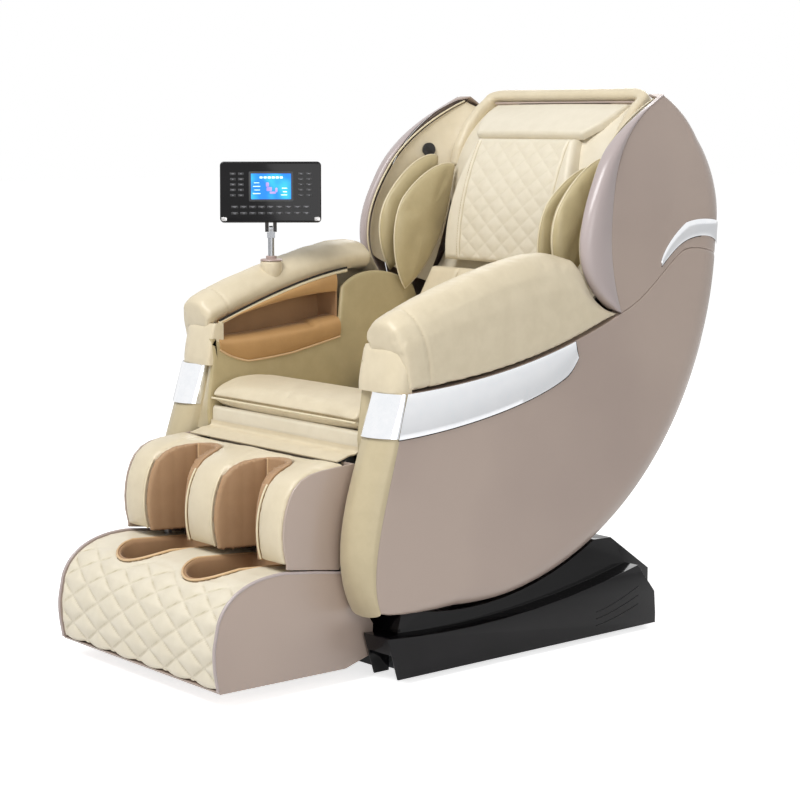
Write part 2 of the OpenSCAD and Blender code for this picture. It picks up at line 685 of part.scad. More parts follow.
module massage_heads() color("#333333") mirrored() {
    difference() {
        x_arc(60, 84, track_r - 30, track_r + 46, track_c, carriage_a - 3.4, carriage_a + 3.4);
        x_rod(50, 90, 20 + fit, knead_c);
    }
    x_arc(64, 80, track_r + 44, track_r + 49.7, track_c, carriage_a - 3, carriage_a + 3);
    for (a = [-5, 5]) {
        c = on_arc(track_c, track_r - 22, carriage_a + a);
        translate([72, c[0], c[1]]) sphere(r = ball_r, $fn = 32);
    }
}

// ---- Actuators --------------------------------------------------------------------------------

// A linear actuator's tube, drawn along +X from its pivot, with the motor beside it
module actuator(from, to, length, pivot_r) {
    difference() {
        translate([0, from[0], from[1]]) rotate([link_angle(from, to), 0, 0]) union() {
            translate([-12, 0, 0]) rotate([0, 90, 0]) cylinder(h = 24, r = 16);
            translate([-12, 0, -10]) cube([24, 40, 20]);
            translate([0, 30, 0]) rotate([-90, 0, 0]) cylinder(h = length - 30, r = tube_r);
        }
        x_rod(-30, 30, pivot_r + run, from);
        translate([0, from[0], from[1]]) rotate([link_angle(from, to), 0, 0])
            translate([0, 50, 0]) rotate([-90, 0, 0]) cylinder(h = length, r = rod_r + run);
    }
}

// Its rod, with a cross pin that runs in the slotted lug
module actuator_rod(from, to, start, pin_r) {
    translate([0, from[0], from[1]]) rotate([link_angle(from, to), 0, 0])
        translate([0, start, 0]) rotate([-90, 0, 0]) cylinder(h = norm(to - from) - start + 8, r = rod_r);
    x_rod(-19, 19, pin_r, to);
}

rock_tube_l = 330;
leg_tube_l = 290;

module rock_actuator() color("#444444") actuator(rock_foot, rock_lug, rock_tube_l, 8);
module rock_rod() color("#bbbbbb") actuator_rod(rock_foot, rock_lug, 60, 5);
module leg_actuator() color("#444444") actuator(leg_foot, leg_lug, leg_tube_l, 8);
module leg_rod() color("#bbbbbb") actuator_rod(leg_foot, leg_lug, 60, 5);

// ---- Base -------------------------------------------------------------------------------------

cheek_x = leg_w / 2 + 8;
base_rear = 474;
ledge_front = bez([[-318, 100], [-150, 84], [100, 80], [398, 150]], 8);
ledge = concat([[-292, foot_h], [456, foot_h], [456, 35], [452, 84]], back(ledge_front));
ledge_in = concat([[-292, -20], [456, -20], [456, 35], [452, 84]], back(ledge_front));
cradle_top = arc(rock_c, back_r + rock_gap, -104, -61, 12);
cradle = concat(
    [[-258, foot_h], [base_rear, foot_h], [base_rear, 127], [353, 212]], back(cradle_top), [[-258, 100]]
);

module base_cover() color("#1c1b1d") difference() {
    union() {
        mirrored() side_plate(cheek_x, base_w / 2, ledge);
        side_plate(-cradle_w / 2, cradle_w / 2, cradle);
    }
    // Hollow inside, open below
    side_plate(-cradle_w / 2 + base_wall, cradle_w / 2 - base_wall, concat(
        [
            [-258 + base_wall, -1], [base_rear - base_wall, -1], [base_rear - base_wall, 127 - base_wall],
            [351, 212 - base_wall]
        ],
        back(arc(rock_c, back_r + rock_gap + base_wall, -103, -61, 12)), [[-258 + base_wall, 100]]
    ));
    mirrored() side_plate(cheek_x + base_wall, base_w / 2 - base_wall, inset(ledge_in, base_wall));
    // Slots for the arc rails and for the rocking actuator
    slot = rail_w / 2 + 2;
    mirrored() x_arc(rail_x - slot, rail_x + slot, back_r - 10, back_r + 30, rock_c, -120, -55);
    translate([-tube_r - 10, -100, 60]) cube([2 * tube_r + 20, 300, 120]);
    translate([switch_x - 2, base_rear - 10, switch_z - 18]) cube([switch_w + 4, 20, 36]);
    translate([socket_x - 4.3, base_rear - 10, switch_z - 16.3]) cube([56.6, 20, 32.6]);
}

frame_h = 40;

module base_frame() color("#555555") {
    cross_x = base_w / 2 - base_wall;
    mirrored() translate([rail_x - 18, -240, foot_h]) cube([36, 650, frame_h]);
    for (y = [-240, 60, 356]) translate([-cross_x, y, foot_h]) cube([2 * cross_x, 40, frame_h]);
    // Ears and pin of the rocking actuator
    mirrored() side_plate(16, 22, [
        rock_foot + [-36, -30], rock_foot + [-20, -30], rock_foot + [12, -8], rock_foot + [13, 6],
        rock_foot + [4, 13], rock_foot + [-8, 12]
    ]);
    x_rod(-22, 22, 8, rock_foot);
    // Brackets and axles of the transport wheels
    mirrored() {
        side_plate(wheel_x - 8, wheel_x - 2, [[390, 16], [450, 16], [450, 42], [390, 50]]);
        x_rod(wheel_x - 8, wheel_x + wheel_w + 2, axle_r, wheel_c);
    }
}

module arc_rails() color("#999999") mirrored() {
    half = rail_w / 2;
    x_arc(rail_x - half, rail_x + half, back_r + 4, back_r + 20, rock_c, rail_arc[0], rail_arc[1]);
    side_plate(rail_x - 8, rail_x + 8, concat(
        [[-225, foot_h + frame_h], [300, foot_h + frame_h]], back(arc(rock_c, back_r + 12, -101, -61, 12))
    ));
}

module base_feet() color("#333333") mirrored()
    for (y = [-200, 388]) translate([rail_x, y, 0]) cylinder(h = foot_h, r = foot_r);

switch_x = 170;
switch_z = 62;
switch_w = 24;
socket_x = 104;
switch_c = [base_rear + 1.6, switch_z];

// Bezel on the rear of the base, with a window for the switch and a socket with its three blades
module mains_inlet() color("#222222") {
    difference() {
        translate([88, base_rear, switch_z - 26]) cube([120, 4, 52]);
        translate([switch_x, base_rear - 1, switch_z - 16]) cube([switch_w, 10, 32]);
        translate([socket_x, base_rear - 1, switch_z - 12]) cube([48, 10, 24]);
        x_rod(switch_x - 2, switch_x + switch_w + 2, 1.2 + run, switch_c);
    }
    difference() {
        translate([socket_x - 4, base_rear - 30, switch_z - 16]) cube([56, 30, 32]);
        translate([socket_x, base_rear - 24, switch_z - 12]) cube([48, 30, 24]);
    }
    for (x = [10, 24, 38]) translate([socket_x + x - 1, base_rear - 25, switch_z - 4]) cube([2, 16, 8]);
}

// Rocker with its two stub pins, shown switched on
module mains_switch() color("#aa2222") {
    translate([0, switch_c[0], switch_c[1]]) rotate([-8, 0, 0])
        side_plate(switch_x + 1, switch_x + switch_w - 1, [[-5, -9], [1, -12], [4, 0], [1, 12], [-5, 9]]);
    x_rod(switch_x - 1.5, switch_x + switch_w + 1.5, 1.2, switch_c);
}

module control_box() color("#777777") translate([-150, 100, foot_h + 2]) cube([300, 180, 46]);

wheel_w = 24;
wheel_x = cradle_w / 2 - base_wall - wheel_w - 6;
wheel_c = [438, wheel_r + 3];

module wheel() difference() {
    x_rod(wheel_x, wheel_x + wheel_w, wheel_r, wheel_c);
    x_rod(wheel_x - 6, wheel_x + wheel_w + 10, axle_r + run, wheel_c);
}

// ---- Leg rest ---------------------------------------------------------------------------------

calf_in = [[-560, 200], [-377, 200], [-350, 300], [-336, 420], [-336, 480], [-560, 480]];
calf_side = concat(
    [[-502, 252]],
    [[-372, 234], [-344, 300], [-330, 420], [-324, 436]],
    bez([[-332, 444], [-400, 440], [-440, 440], [-466, 424]], 4),
    bez([[-484, 408], [-505, 380], [-520, 320], [-502, 262]], 6)
);
boss_x = [beam_x + beam_w - 9, beam_x + beam_w + 1];
rod_x = leg_w / 2 - 44;
rod_y = -428;

module calf_shell() color("#a3938a") difference() {
    side_plate(-leg_w / 2, leg_w / 2, calf_side);
    side_plate(-leg_w / 2 + leg_wall, leg_w / 2 - leg_wall, calf_in);
    // Notches for the hinge arms and the actuator's lug
    mirrored() translate([boss_x[0] - 12, -360, 403]) cube([boss_x[1] - boss_x[0] + 26, 60, 77]);
    side_plate(-26, 26, [[-400, 284], [-300, 284], [-300, 350], [-400, 350]]);
}

// A calf channel, seen from above
module channel(half_w, deep) linear_extrude(600) polygon([
    for (a = [0:15:180]) [half_w * cos(a), -515 + deep * sin(a)], [-half_w, -700], [half_w, -700]
]);

module calf_body(half_w, grow) difference() {
    intersection() {
        side_plate(-half_w, half_w, inset(calf_side, -grow));
        side_plate(-half_w, half_w, [[-600, 258], [-361.8, 258], [-352.3, 293], [-352.3, 500], [-600, 500]]);
    }
    children();
}

module calf_pad() color("#e0d5b8") calf_body(leg_w / 2 - leg_wall - fit, 3) {
    mirrored() translate([calf_pitch / 2, 0, 0]) channel(calf_half_w, 140);
    mirrored() translate([rod_x, rod_y, 200]) cylinder(h = 228, r = slide_r + 7);
}

module calf_lining() color("#a07e5c") mirrored() difference() {
    intersection() {
        translate([calf_pitch / 2, 0, 0]) channel(calf_half_w - fit, 140 - fit);
        side_plate(0, leg_w / 2, calf_side);
        translate([0, -600, 256]) cube([400, 400, 400]);
    }
    translate([calf_pitch / 2, 0, 0]) channel(calf_half_w - calf_lining_t, 140 - calf_lining_t);
}

module calf_frame() color("#777777") {
    difference() {
        union() {
            side_plate(-boss_x[1], boss_x[1], [
                [-352, 338], [-346.2, 338], [-342, 372], [-342, 426], [-352, 426]
            ]);
            side_plate(-20, 20, [[-352, 294], [-346, 294], [-346, 340], [-352, 340]]);
            mirrored() {
                x_rod(boss_x[0], boss_x[1], 13, leg_axis);
                side_plate(boss_x[0], boss_x[1], [
                    [-351.5, 400], [-346.5, 400], leg_axis + [-2, -12], leg_axis + [-6, 12], [-345, 426],
                    [-351.5, 426]
                ]);
            }
        }
        mirrored() x_rod(boss_x[0] - 5, boss_x[1] + 5, leg_pin_r + run, leg_axis);
    }
    mirrored() {
        // Guide tube of the foot rest's rod, on its bracket
        translate([rod_x, rod_y, 268]) difference() {
            cylinder(h = 156, r = slide_r + 6);
            translate([0, 0, -1]) cylinder(h = 160, r = slide_r + run);
        }
        // Slotted lug of the actuator
        difference() {
            side_plate(14, 20, [
                [-348, 296], leg_lug + [8, -12], leg_lug + [18, -6], leg_lug + [18, 34], [-348, 346]
            ]);
            side_plate(10, 24, [
                for (q = [[-6.4, -5.3], [6, -5.3], [13, 14], [13, 27.6], [-4.2, 27.6], [-6.4, 16]]) leg_lug + q
            ]);
        }
    }
}

foot_top = [each bez([[-665, 170], [-648, 215], [-600, 248], [-506, 246]], 6), [-430, 237], [-364, 227]];
foot_front = [[-667, 38], [-674, 80], [-675, 119]];
foot_side = concat([[-663, 32], [-357, 30], [-289, 50], [-286, 112]], back(foot_top), back(foot_front));
foot_pad_t = 26;
well_x = 120;
well_y = [-612, -400];
well_w = 63;
roller_c = [-520, 57];
roller_shaft_r = 6;

foot_in = [[-720, 37], [-357, 36], [-295, 54], [-292, 111], [-368, 224], [-380, 300], [-720, 300]];

module foot_shell() color("#a3938a") {
    rib_x = [well_x - 76, well_x + 84];
    // Side panels, and the pan between them
    mirrored() side_plate(leg_w / 2 - leg_wall, leg_w / 2, foot_side);
    difference() {
        side_plate(-leg_w / 2 + leg_wall + fit, leg_w / 2 - leg_wall - fit, foot_side);
        side_plate(-leg_w, leg_w, foot_in);
    }
    // Bearing ribs of the foot rollers, and sockets of the slide rods
    difference() {
        mirrored() for (x = rib_x) side_plate(x, x + 6, [[-534, 36], [-506, 36], [-508, 74], [-532, 74]]);
        x_rod(-250, 250, roller_shaft_r + run, roller_c);
    }
    mirrored() translate([rod_x, rod_y, 36.5]) difference() {
        cylinder(h = 26, r = slide_r + 6);
        translate([0, 0, 3]) cylinder(h = 30, r = slide_r + fit);
    }
}

// A foot well, seen from above
module well(grow, z0, z1) translate([well_x, 0, z0]) linear_extrude(z1 - z0) polygon(concat(
    [for (a = [180:18:360]) [(well_w + grow) * cos(a), well_y[0] + well_w + (well_w + grow) * sin(a)]],
    [for (a = [0:30:90]) [well_w + grow - 30 + 30 * cos(a), well_y[1] + grow - 30 + 30 * sin(a)]],
    [for (a = [90:30:180]) [-well_w - grow + 30 + 30 * cos(a), well_y[1] + grow - 30 + 30 * sin(a)]]
));

module foot_pad() color("#e5dbbf") difference() {
    face = concat(foot_front, foot_top);
    n = len(face) - 1;
    behind = [
        for (i = [0:n])
            let (d = unit(face[min(i + 1, n)] - face[max(i - 1, 0)])) face[i] + [d[1], -d[0]] * foot_pad_t
    ];
    half = leg_w / 2 - leg_wall - fit;
    intersection() {
        side_plate(-half, half, concat([[-641, 38]], behind, back(face)));
        side_plate(-leg_w, leg_w, [for (p = foot_in) p + [-0.5, fit]]);
    }
    mirrored() well(8, 0, 300);
    mirrored() translate([rod_x, rod_y, 0]) cylinder(h = 300, r = slide_r + fit);
}

module foot_lining() color("#a07e5c") mirrored() difference() {
    intersection() {
        well(7.5, 77.5, 300);
        side_plate(0, leg_w / 2, concat([[-657, 60], [-380, 60]], [[-380, 229]], back(foot_top)));
    }
    well(0, 84, 320);
}

module foot_rods() color("#bbbbbb") mirrored()
    translate([rod_x, rod_y, 39.5]) cylinder(h = 253 + foot_travel, r = slide_r);

module foot_rollers() color("#444444") {
    x_rod(-well_x - 92, well_x + 92, roller_shaft_r, roller_c);
    mirrored() for (x = [well_x - 48, well_x - 12, well_x + 24])
        x_rod(x, x + 24, roller_r, roller_c);
}

// ---- Control panel ----------------------------------------------------------------------------

post_c = [-296, -103];
arm_crest = 806;
post_top = 878;
neck = 13;
tilt_pin_r = 3;

// Cup in the arm pad's pocket, with a flange and a collar for the post
module panel_mount() color("#2a2a2c") translate([post_c[0], post_c[1], arm_crest - 26]) difference() {
    union() {
        cylinder(h = 28, r = 18);
        translate([0, 0, 27]) cylinder(h = 4, r1 = 26, r2 = 23);
        translate([0, 0, 30.8]) cylinder(h = 7, r = 12);
    }
    translate([0, 0, 4]) cylinder(h = 40, r = post_r + run);
}

module panel_post() color("#9a9a9c") translate([post_c[0], post_c[1], 0]) {
    translate([0, 0, arm_crest - 22]) cylinder(h = post_top - arm_crest + 4, r = post_r);
    translate([0, 0, post_top]) rotate([0, 0, panel_yaw]) difference() {
        union() {
            translate([-9, -9, -20]) cube([18, 18, 12]);
            translate([-4, -6, -10]) cube([8, 12, 10]);
            x_rod(-4, 4, 7, [0, 0]);
        }
        x_rod(-20, 20, tilt_pin_r + run, [0, 0]);
    }
}

// Places children on the tilting panel, whose middle is their origin
module on_panel()
    translate([post_c[0], post_c[1], post_top]) rotate([0, 0, panel_yaw]) rotate([-panel_lean, 0, 0])
        translate([0, -8, neck + panel_h / 2]) children();

screen_w = 90;
screen_h = 58;
screen_at = [1, 12];
key = [13, 5.6];
key_out = 0.8;

module panel_case() color("#1b1b1d") on_panel() {
    pivot = [8, -neck - panel_h / 2];
    difference() {
        translate([-panel_w / 2, -panel_t / 2, -panel_h / 2]) cube([panel_w, panel_t, panel_h]);
        translate([screen_at[0] - screen_w / 2 - fit, -panel_t / 2 - 1, screen_at[1] - screen_h / 2 - fit])
            cube([screen_w + 2 * fit, 3, screen_h + 2 * fit]);
    }
    // Hinge cheeks and pin
    mirrored() {
        x_rod(5, 13, 7, pivot);
        side_plate(5, 13, [pivot + [-7, 0], pivot + [7, 0], [10, -panel_h / 2 + 1], [-8, -panel_h / 2 + 1]]);
    }
    x_rod(-9, 9, tilt_pin_r, pivot);
}

module panel_screen() color("#2f6fd0") on_panel()
    translate([screen_at[0] - screen_w / 2, -panel_t / 2 + 0.5, screen_at[1] - screen_h / 2])
        cube([screen_w, 1.5, screen_h]);

module panel_keys() color("#3a3a3e") on_panel() {
    for (x = [-84, -66, 68, 86], z = [-8:12:40]) key_cap(x, z, key[0]);
    for (x = [-80:20:80], z = [-34, -48]) key_cap(x, z, 16);
}

module key_cap(x, z, w)
    translate([x - w / 2, -panel_t / 2 - key_out, z - key[1] / 2]) cube([w, key_out, key[1]]);

// ---- Sub-parts that come in pairs -----------------------------------------------------------

module wheel_left() color("#333333") wheel();
module wheel_right() color("#333333") mirror([1, 0, 0]) wheel();
module side_shell_left() color("#a3938a") mirror([1, 0, 0]) side_shell();
module side_shell_right() color("#a3938a") side_shell();
module shell_trim_left() color("#d9cdb2") shell_trim();
module shell_trim_right() color("#d9cdb2") mirror([1, 0, 0]) shell_trim();
module chrome_strips() color("#f0f0f0") mirrored() chrome_strip();
module arm_pad_left() color("#dccfb2") arm_pad();
module arm_linings() color("#b98f5e") mirrored() arm_lining();
module inner_panels() color("#c9bd9c") mirrored() inner_panel();
module wing_left() color("#b3a6a0") mirror([1, 0, 0]) wing();
module wing_right() color("#b3a6a0") wing();
module wing_rim_left() color("#c4b8bc") wing_rim();
module wing_rim_right() color("#c4b8bc") mirror([1, 0, 0]) wing_rim();
module wing_linings() color("#e0d5b8") mirrored() wing_lining();
module wing_chromes() color("#f0f0f0") mirrored() wing_chrome();
module shoulder_pads_left() color("#c6b993") shoulder_pads();
module shoulder_pads_right() color("#c6b993") mirror([1, 0, 0]) shoulder_pads();
module speakers() color("#222222") mirrored() speaker();

base_cover();
base_frame();
arc_rails();
base_feet();
mains_inlet();
mains_switch();
control_box();
wheel_left();
wheel_right();
seat_frame();
glide_shoes();
massage_rails();
side_shell_left();
side_shell_right();
back_cover();
shell_trim_left();
shell_trim_right();
chrome_strips();
arm_pad_left();
arm_pad_right();
arm_linings();
inner_panels();
wing_left();
wing_right();
wing_rim_left();
wing_rim_right();
wing_linings();
wing_chromes();
shoulder_pads_left();
shoulder_pads_right();
head_arch();
head_pad();
back_pad();
lumbar_pad();
seat_cushion();
seat_front_panel();
seat_pan();
speakers();
air_pump();
carriage_frame();
massage_heads();
knead_shaft();
calf_shell();
calf_pad();
calf_lining();
calf_frame();
foot_shell();
foot_pad();
foot_lining();
foot_rods();
foot_rollers();
rock_actuator();
rock_rod();
leg_actuator();
leg_rod();
panel_mount();
panel_post();
panel_case();
panel_screen();
panel_keys();
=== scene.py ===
"""Dresses the massage chair: moulded shells, upholstery, base, leg rest and control panel round the fixed frame."""

from __future__ import annotations

import json
import logging
import math
from dataclasses import dataclass
from enum import Enum
from math import cos, pi, radians, sin
from typing import Callable, Sequence

import bmesh
import bpy
import numpy as np
from mathutils import Vector
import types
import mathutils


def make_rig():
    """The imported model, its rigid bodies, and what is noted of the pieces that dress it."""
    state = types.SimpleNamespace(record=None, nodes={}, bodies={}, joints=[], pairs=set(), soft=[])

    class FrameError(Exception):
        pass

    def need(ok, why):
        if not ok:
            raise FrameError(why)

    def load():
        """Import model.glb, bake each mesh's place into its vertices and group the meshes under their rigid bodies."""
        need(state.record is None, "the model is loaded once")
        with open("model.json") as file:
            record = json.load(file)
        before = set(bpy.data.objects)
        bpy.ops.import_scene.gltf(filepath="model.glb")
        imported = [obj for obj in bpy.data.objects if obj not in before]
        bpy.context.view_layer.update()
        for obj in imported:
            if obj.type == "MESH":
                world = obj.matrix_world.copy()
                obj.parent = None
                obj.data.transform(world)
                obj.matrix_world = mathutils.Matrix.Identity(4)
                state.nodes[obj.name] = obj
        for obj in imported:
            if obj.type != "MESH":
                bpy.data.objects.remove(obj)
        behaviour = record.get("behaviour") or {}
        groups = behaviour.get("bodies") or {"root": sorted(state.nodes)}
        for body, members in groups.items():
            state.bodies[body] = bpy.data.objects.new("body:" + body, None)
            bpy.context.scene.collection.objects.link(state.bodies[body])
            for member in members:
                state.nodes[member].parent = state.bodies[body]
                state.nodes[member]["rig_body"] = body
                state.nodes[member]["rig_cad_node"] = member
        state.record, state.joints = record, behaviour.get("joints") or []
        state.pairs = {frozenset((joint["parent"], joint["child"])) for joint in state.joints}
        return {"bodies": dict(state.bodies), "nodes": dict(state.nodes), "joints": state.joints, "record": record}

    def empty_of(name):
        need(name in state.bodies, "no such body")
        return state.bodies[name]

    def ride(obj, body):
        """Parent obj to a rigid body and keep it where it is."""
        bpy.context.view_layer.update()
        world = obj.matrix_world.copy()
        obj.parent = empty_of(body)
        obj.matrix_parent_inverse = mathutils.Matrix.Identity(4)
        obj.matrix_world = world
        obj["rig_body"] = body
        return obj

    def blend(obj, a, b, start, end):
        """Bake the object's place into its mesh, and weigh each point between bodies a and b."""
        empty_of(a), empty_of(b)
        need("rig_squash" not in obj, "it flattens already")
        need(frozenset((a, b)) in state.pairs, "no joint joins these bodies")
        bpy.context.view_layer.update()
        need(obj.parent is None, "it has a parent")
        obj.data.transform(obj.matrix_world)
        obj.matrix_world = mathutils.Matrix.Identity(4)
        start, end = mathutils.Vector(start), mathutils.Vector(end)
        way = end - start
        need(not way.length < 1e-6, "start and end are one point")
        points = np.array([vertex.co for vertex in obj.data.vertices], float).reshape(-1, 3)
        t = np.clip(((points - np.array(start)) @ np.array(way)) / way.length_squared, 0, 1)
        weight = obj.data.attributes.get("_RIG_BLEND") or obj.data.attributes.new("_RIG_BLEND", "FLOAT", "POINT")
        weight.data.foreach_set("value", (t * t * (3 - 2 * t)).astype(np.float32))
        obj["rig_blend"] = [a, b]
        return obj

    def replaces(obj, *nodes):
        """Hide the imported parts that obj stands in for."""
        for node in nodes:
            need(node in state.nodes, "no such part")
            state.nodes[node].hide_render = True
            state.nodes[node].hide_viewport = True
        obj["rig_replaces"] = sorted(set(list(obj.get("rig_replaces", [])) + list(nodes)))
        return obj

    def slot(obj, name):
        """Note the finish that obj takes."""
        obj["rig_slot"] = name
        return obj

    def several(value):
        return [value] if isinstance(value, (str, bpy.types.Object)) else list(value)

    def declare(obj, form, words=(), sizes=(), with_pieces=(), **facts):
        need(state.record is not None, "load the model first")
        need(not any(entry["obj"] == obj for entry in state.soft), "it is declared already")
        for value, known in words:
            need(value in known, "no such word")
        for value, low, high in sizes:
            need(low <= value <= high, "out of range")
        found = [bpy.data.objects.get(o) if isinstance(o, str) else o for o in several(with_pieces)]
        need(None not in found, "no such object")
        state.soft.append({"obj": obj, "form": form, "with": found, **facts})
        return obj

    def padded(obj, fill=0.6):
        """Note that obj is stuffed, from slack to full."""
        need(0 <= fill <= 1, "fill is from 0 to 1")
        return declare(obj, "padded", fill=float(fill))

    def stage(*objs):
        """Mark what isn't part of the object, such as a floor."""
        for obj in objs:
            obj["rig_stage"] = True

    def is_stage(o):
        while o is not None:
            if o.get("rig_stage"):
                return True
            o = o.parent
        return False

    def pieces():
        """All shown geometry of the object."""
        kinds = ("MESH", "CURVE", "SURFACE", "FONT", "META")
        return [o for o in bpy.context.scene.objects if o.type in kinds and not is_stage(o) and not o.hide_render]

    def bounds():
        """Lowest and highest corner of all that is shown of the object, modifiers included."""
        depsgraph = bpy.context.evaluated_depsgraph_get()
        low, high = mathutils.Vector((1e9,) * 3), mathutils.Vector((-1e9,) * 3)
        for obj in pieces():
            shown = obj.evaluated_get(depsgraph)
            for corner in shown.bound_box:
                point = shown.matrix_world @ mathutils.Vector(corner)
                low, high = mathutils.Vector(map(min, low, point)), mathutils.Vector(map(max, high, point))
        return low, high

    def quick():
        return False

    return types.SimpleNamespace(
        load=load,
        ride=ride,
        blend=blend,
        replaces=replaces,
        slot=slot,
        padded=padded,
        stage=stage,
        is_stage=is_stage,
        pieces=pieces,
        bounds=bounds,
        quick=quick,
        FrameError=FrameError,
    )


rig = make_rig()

LOG = logging.getLogger("massage_chair")
MM = 0.001
MERGE = 2e-5  # points closer than this many metres are one
SMOOTH = {"interpolation_type": "SMOOTHSTEP"}
SIZE_FILE = "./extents.json"

Pair = tuple[float, float]
Triple = tuple[float, float, float]
Ring = list[Triple]
Line = Sequence[Sequence[float]]
Item = bpy.types.Object
Tree = bpy.types.NodeTree
Node = bpy.types.Node
Socket = bpy.types.NodeSocket

FRAME: dict = {}


class Side(Enum):
    """The sitter's sides, with the sign of X on each."""

    LEFT = 1
    RIGHT = -1

    @property
    def word(self) -> str:
        """The side's name in a piece's name."""
        return self.name.lower()


# ---- Curves, in millimetres


def mix(a: float, b: float, t: float) -> float:
    """The value a share t of the way from a to b."""
    return a + (b - a) * t


def mix_points(a: Sequence[float], b: Sequence[float], t: float) -> tuple:
    """The point a share t of the way from a to b."""
    return tuple(mix(u, v, t) for u, v in zip(a, b))


def on_arc(centre: Pair, radius: float, degrees: float) -> Pair:
    """The point of a circle at an angle from +Y towards +Z."""
    angle = radians(degrees)
    return centre[0] + radius * cos(angle), centre[1] + radius * sin(angle)


def arc(centre: Pair, radius: float, first: float, last: float, steps: int) -> list[Pair]:
    """Points along an arc, both ends included."""
    return [on_arc(centre, radius, mix(first, last, i / steps)) for i in range(steps + 1)]


def bez_at(p: Sequence[Pair], t: float) -> Pair:
    """The point of a cubic curve at t."""
    w = ((1 - t) ** 3, 3 * t * (1 - t) ** 2, 3 * t * t * (1 - t), t**3)
    return tuple(sum(k * q[i] for k, q in zip(w, p)) for i in (0, 1))


def bez(p: Sequence[Pair], steps: int) -> list[Pair]:
    """Points along a cubic curve, both ends included."""
    return [bez_at(p, i / steps) for i in range(steps + 1)]


def chain(*runs: Sequence[Pair]) -> list[Pair]:
    """Joins runs of points, leaving out each run's first point where it repeats the last."""
    out: list[Pair] = list(runs[0])
    for run in runs[1:]:
        out.extend(run[1:] if math.dist(out[-1][:2], run[0][:2]) < 1e-6 else run)
    return out


def inward(p: Sequence[Pair]) -> list[Pair]:
    """Inward unit normals of a closed outline that runs anticlockwise."""
    out = []
    for i, _ in enumerate(p):
        a, b = p[i - 1], p[(i + 1) % len(p)]
        d = (b[0] - a[0], b[1] - a[1])
        n = math.hypot(*d) or 1.0
        out.append((-d[1] / n, d[0] / n))
    return out


def inset(p: Sequence[Pair], d: float) -> list[Pair]:
    """A closed outline moved inwards by d."""
    return [(q[0] + n[0] * d, q[1] + n[1] * d) for q, n in zip(p, inward(p))]


def resampled(p: Line, steps: int) -> list[tuple]:
    """The same open line with evenly spaced points."""
    q = np.array(p, float)
    run = np.concatenate([[0.0], np.cumsum(np.linalg.norm(np.diff(q, axis=0), axis=1))])
    at = np.linspace(0, run[-1], steps + 1)
    return [tuple(row) for row in np.stack([np.interp(at, run, q[:, k]) for k in range(q.shape[1])], axis=1)]


def catmull_rom(runs: Sequence[Sequence[np.ndarray]], steps: int) -> list[np.ndarray]:
    """The points of smooth spans: each run of four corners gives the span between its middle two."""
    out = []
    for a, b, c, d in runs:
        for k in range(steps):
            t = k / steps
            square, cube = (2 * a - 5 * b + 4 * c - d) * t**2, (3 * b - a - 3 * c + d) * t**3
            out.append(0.5 * (2 * b + (c - a) * t + square + cube))
    return out


def smooth_line(p: Line, steps: int) -> list[tuple]:
    """A smooth line through the points, with steps spans to each pair of them."""
    q = np.array(p, float)
    ext = np.vstack([2 * q[0] - q[1], q, 2 * q[-1] - q[-2]])
    runs = [ext[i : i + 4] for i in range(len(q) - 1)]
    return [tuple(row) for row in [*catmull_rom(runs, steps), q[-1]]]


def smooth_ring(p: Line, steps: int) -> list[tuple]:
    """A closed smooth line through the points."""
    q = np.array(p, float)
    runs = [[q[(i + k) % len(q)] for k in (-1, 0, 1, 2)] for i in range(len(q))]
    return [tuple(row) for row in catmull_rom(runs, steps)]


# ---- Meshes


def placed(name: str, data: bpy.types.ID) -> Item:
    """A new object with its data, in the scene."""
    obj = bpy.data.objects.new(name, data)
    bpy.context.scene.collection.objects.link(obj)
    return obj


def mesh_object(name: str, points: Sequence[Triple], faces: Sequence[Sequence[int]], sharp: float = 40) -> Item:
    """Makes an object from points in millimetres.

    Args:
        name: The piece's name.
        points: Vertices in millimetres.
        faces: Corner indices of each face.
        sharp: Edges that bend by more than this many degrees stay sharp.

    Returns:
        The new object, at the origin, with its faces turned outwards.
    """
    mesh = bpy.data.meshes.new(name)
    mesh.from_pydata([tuple(c * MM for c in p) for p in points], [], [list(f) for f in faces])
    finish_mesh(mesh, sharp)
    return placed(name, mesh)


def finish_mesh(mesh: bpy.types.Mesh, sharp: float = 40) -> None:
    """Merges doubles, turns the faces outwards and shades the mesh smooth up to an angle in degrees."""
    work = bmesh.new()
    work.from_mesh(mesh)
    bmesh.ops.remove_doubles(work, verts=work.verts, dist=MERGE)
    bmesh.ops.recalc_face_normals(work, faces=work.faces)
    if work.calc_volume(signed=True) < 0:
        bmesh.ops.reverse_faces(work, faces=work.faces)
    work.to_mesh(mesh)
    work.free()
    shade(mesh, sharp)


def shade(mesh: bpy.types.Mesh, sharp: float = 40) -> None:
    """Shades a mesh smooth, with edges sharp beyond an angle in degrees."""
    mesh.polygons.foreach_set("use_smooth", [True] * len(mesh.polygons))
    mesh.set_sharp_from_angle(angle=radians(sharp))
    mesh.update()


def loft(name: str, rings: Sequence[Ring], caps: bool = True, sharp: float = 40) -> Item:
    """Makes a solid through closed rings that have the same number of points."""
    n, m = len(rings[0]), len(rings)
    faces: list[list[int]] = [
        [i * n + j, i * n + (j + 1) % n, (i + 1) * n + (j + 1) % n, (i + 1) * n + j]
        for i in range(m - 1) for j in range(n)
    ]
    if caps:
        faces += [list(range(n))[::-1], [(m - 1) * n + j for j in range(n)]]
    return mesh_object(name, [p for ring in rings for p in ring], faces, sharp)


def plate(name: str, outline: Sequence[Pair], levels: Sequence[Pair], sharp: float = 40) -> Item:
    """Makes a plate in the YZ plane from an anticlockwise outline: each level is (x, inset)."""
    return loft(name, [[(x, q[0], q[1]) for q in inset(outline, d)] for x, d in levels], sharp=sharp)


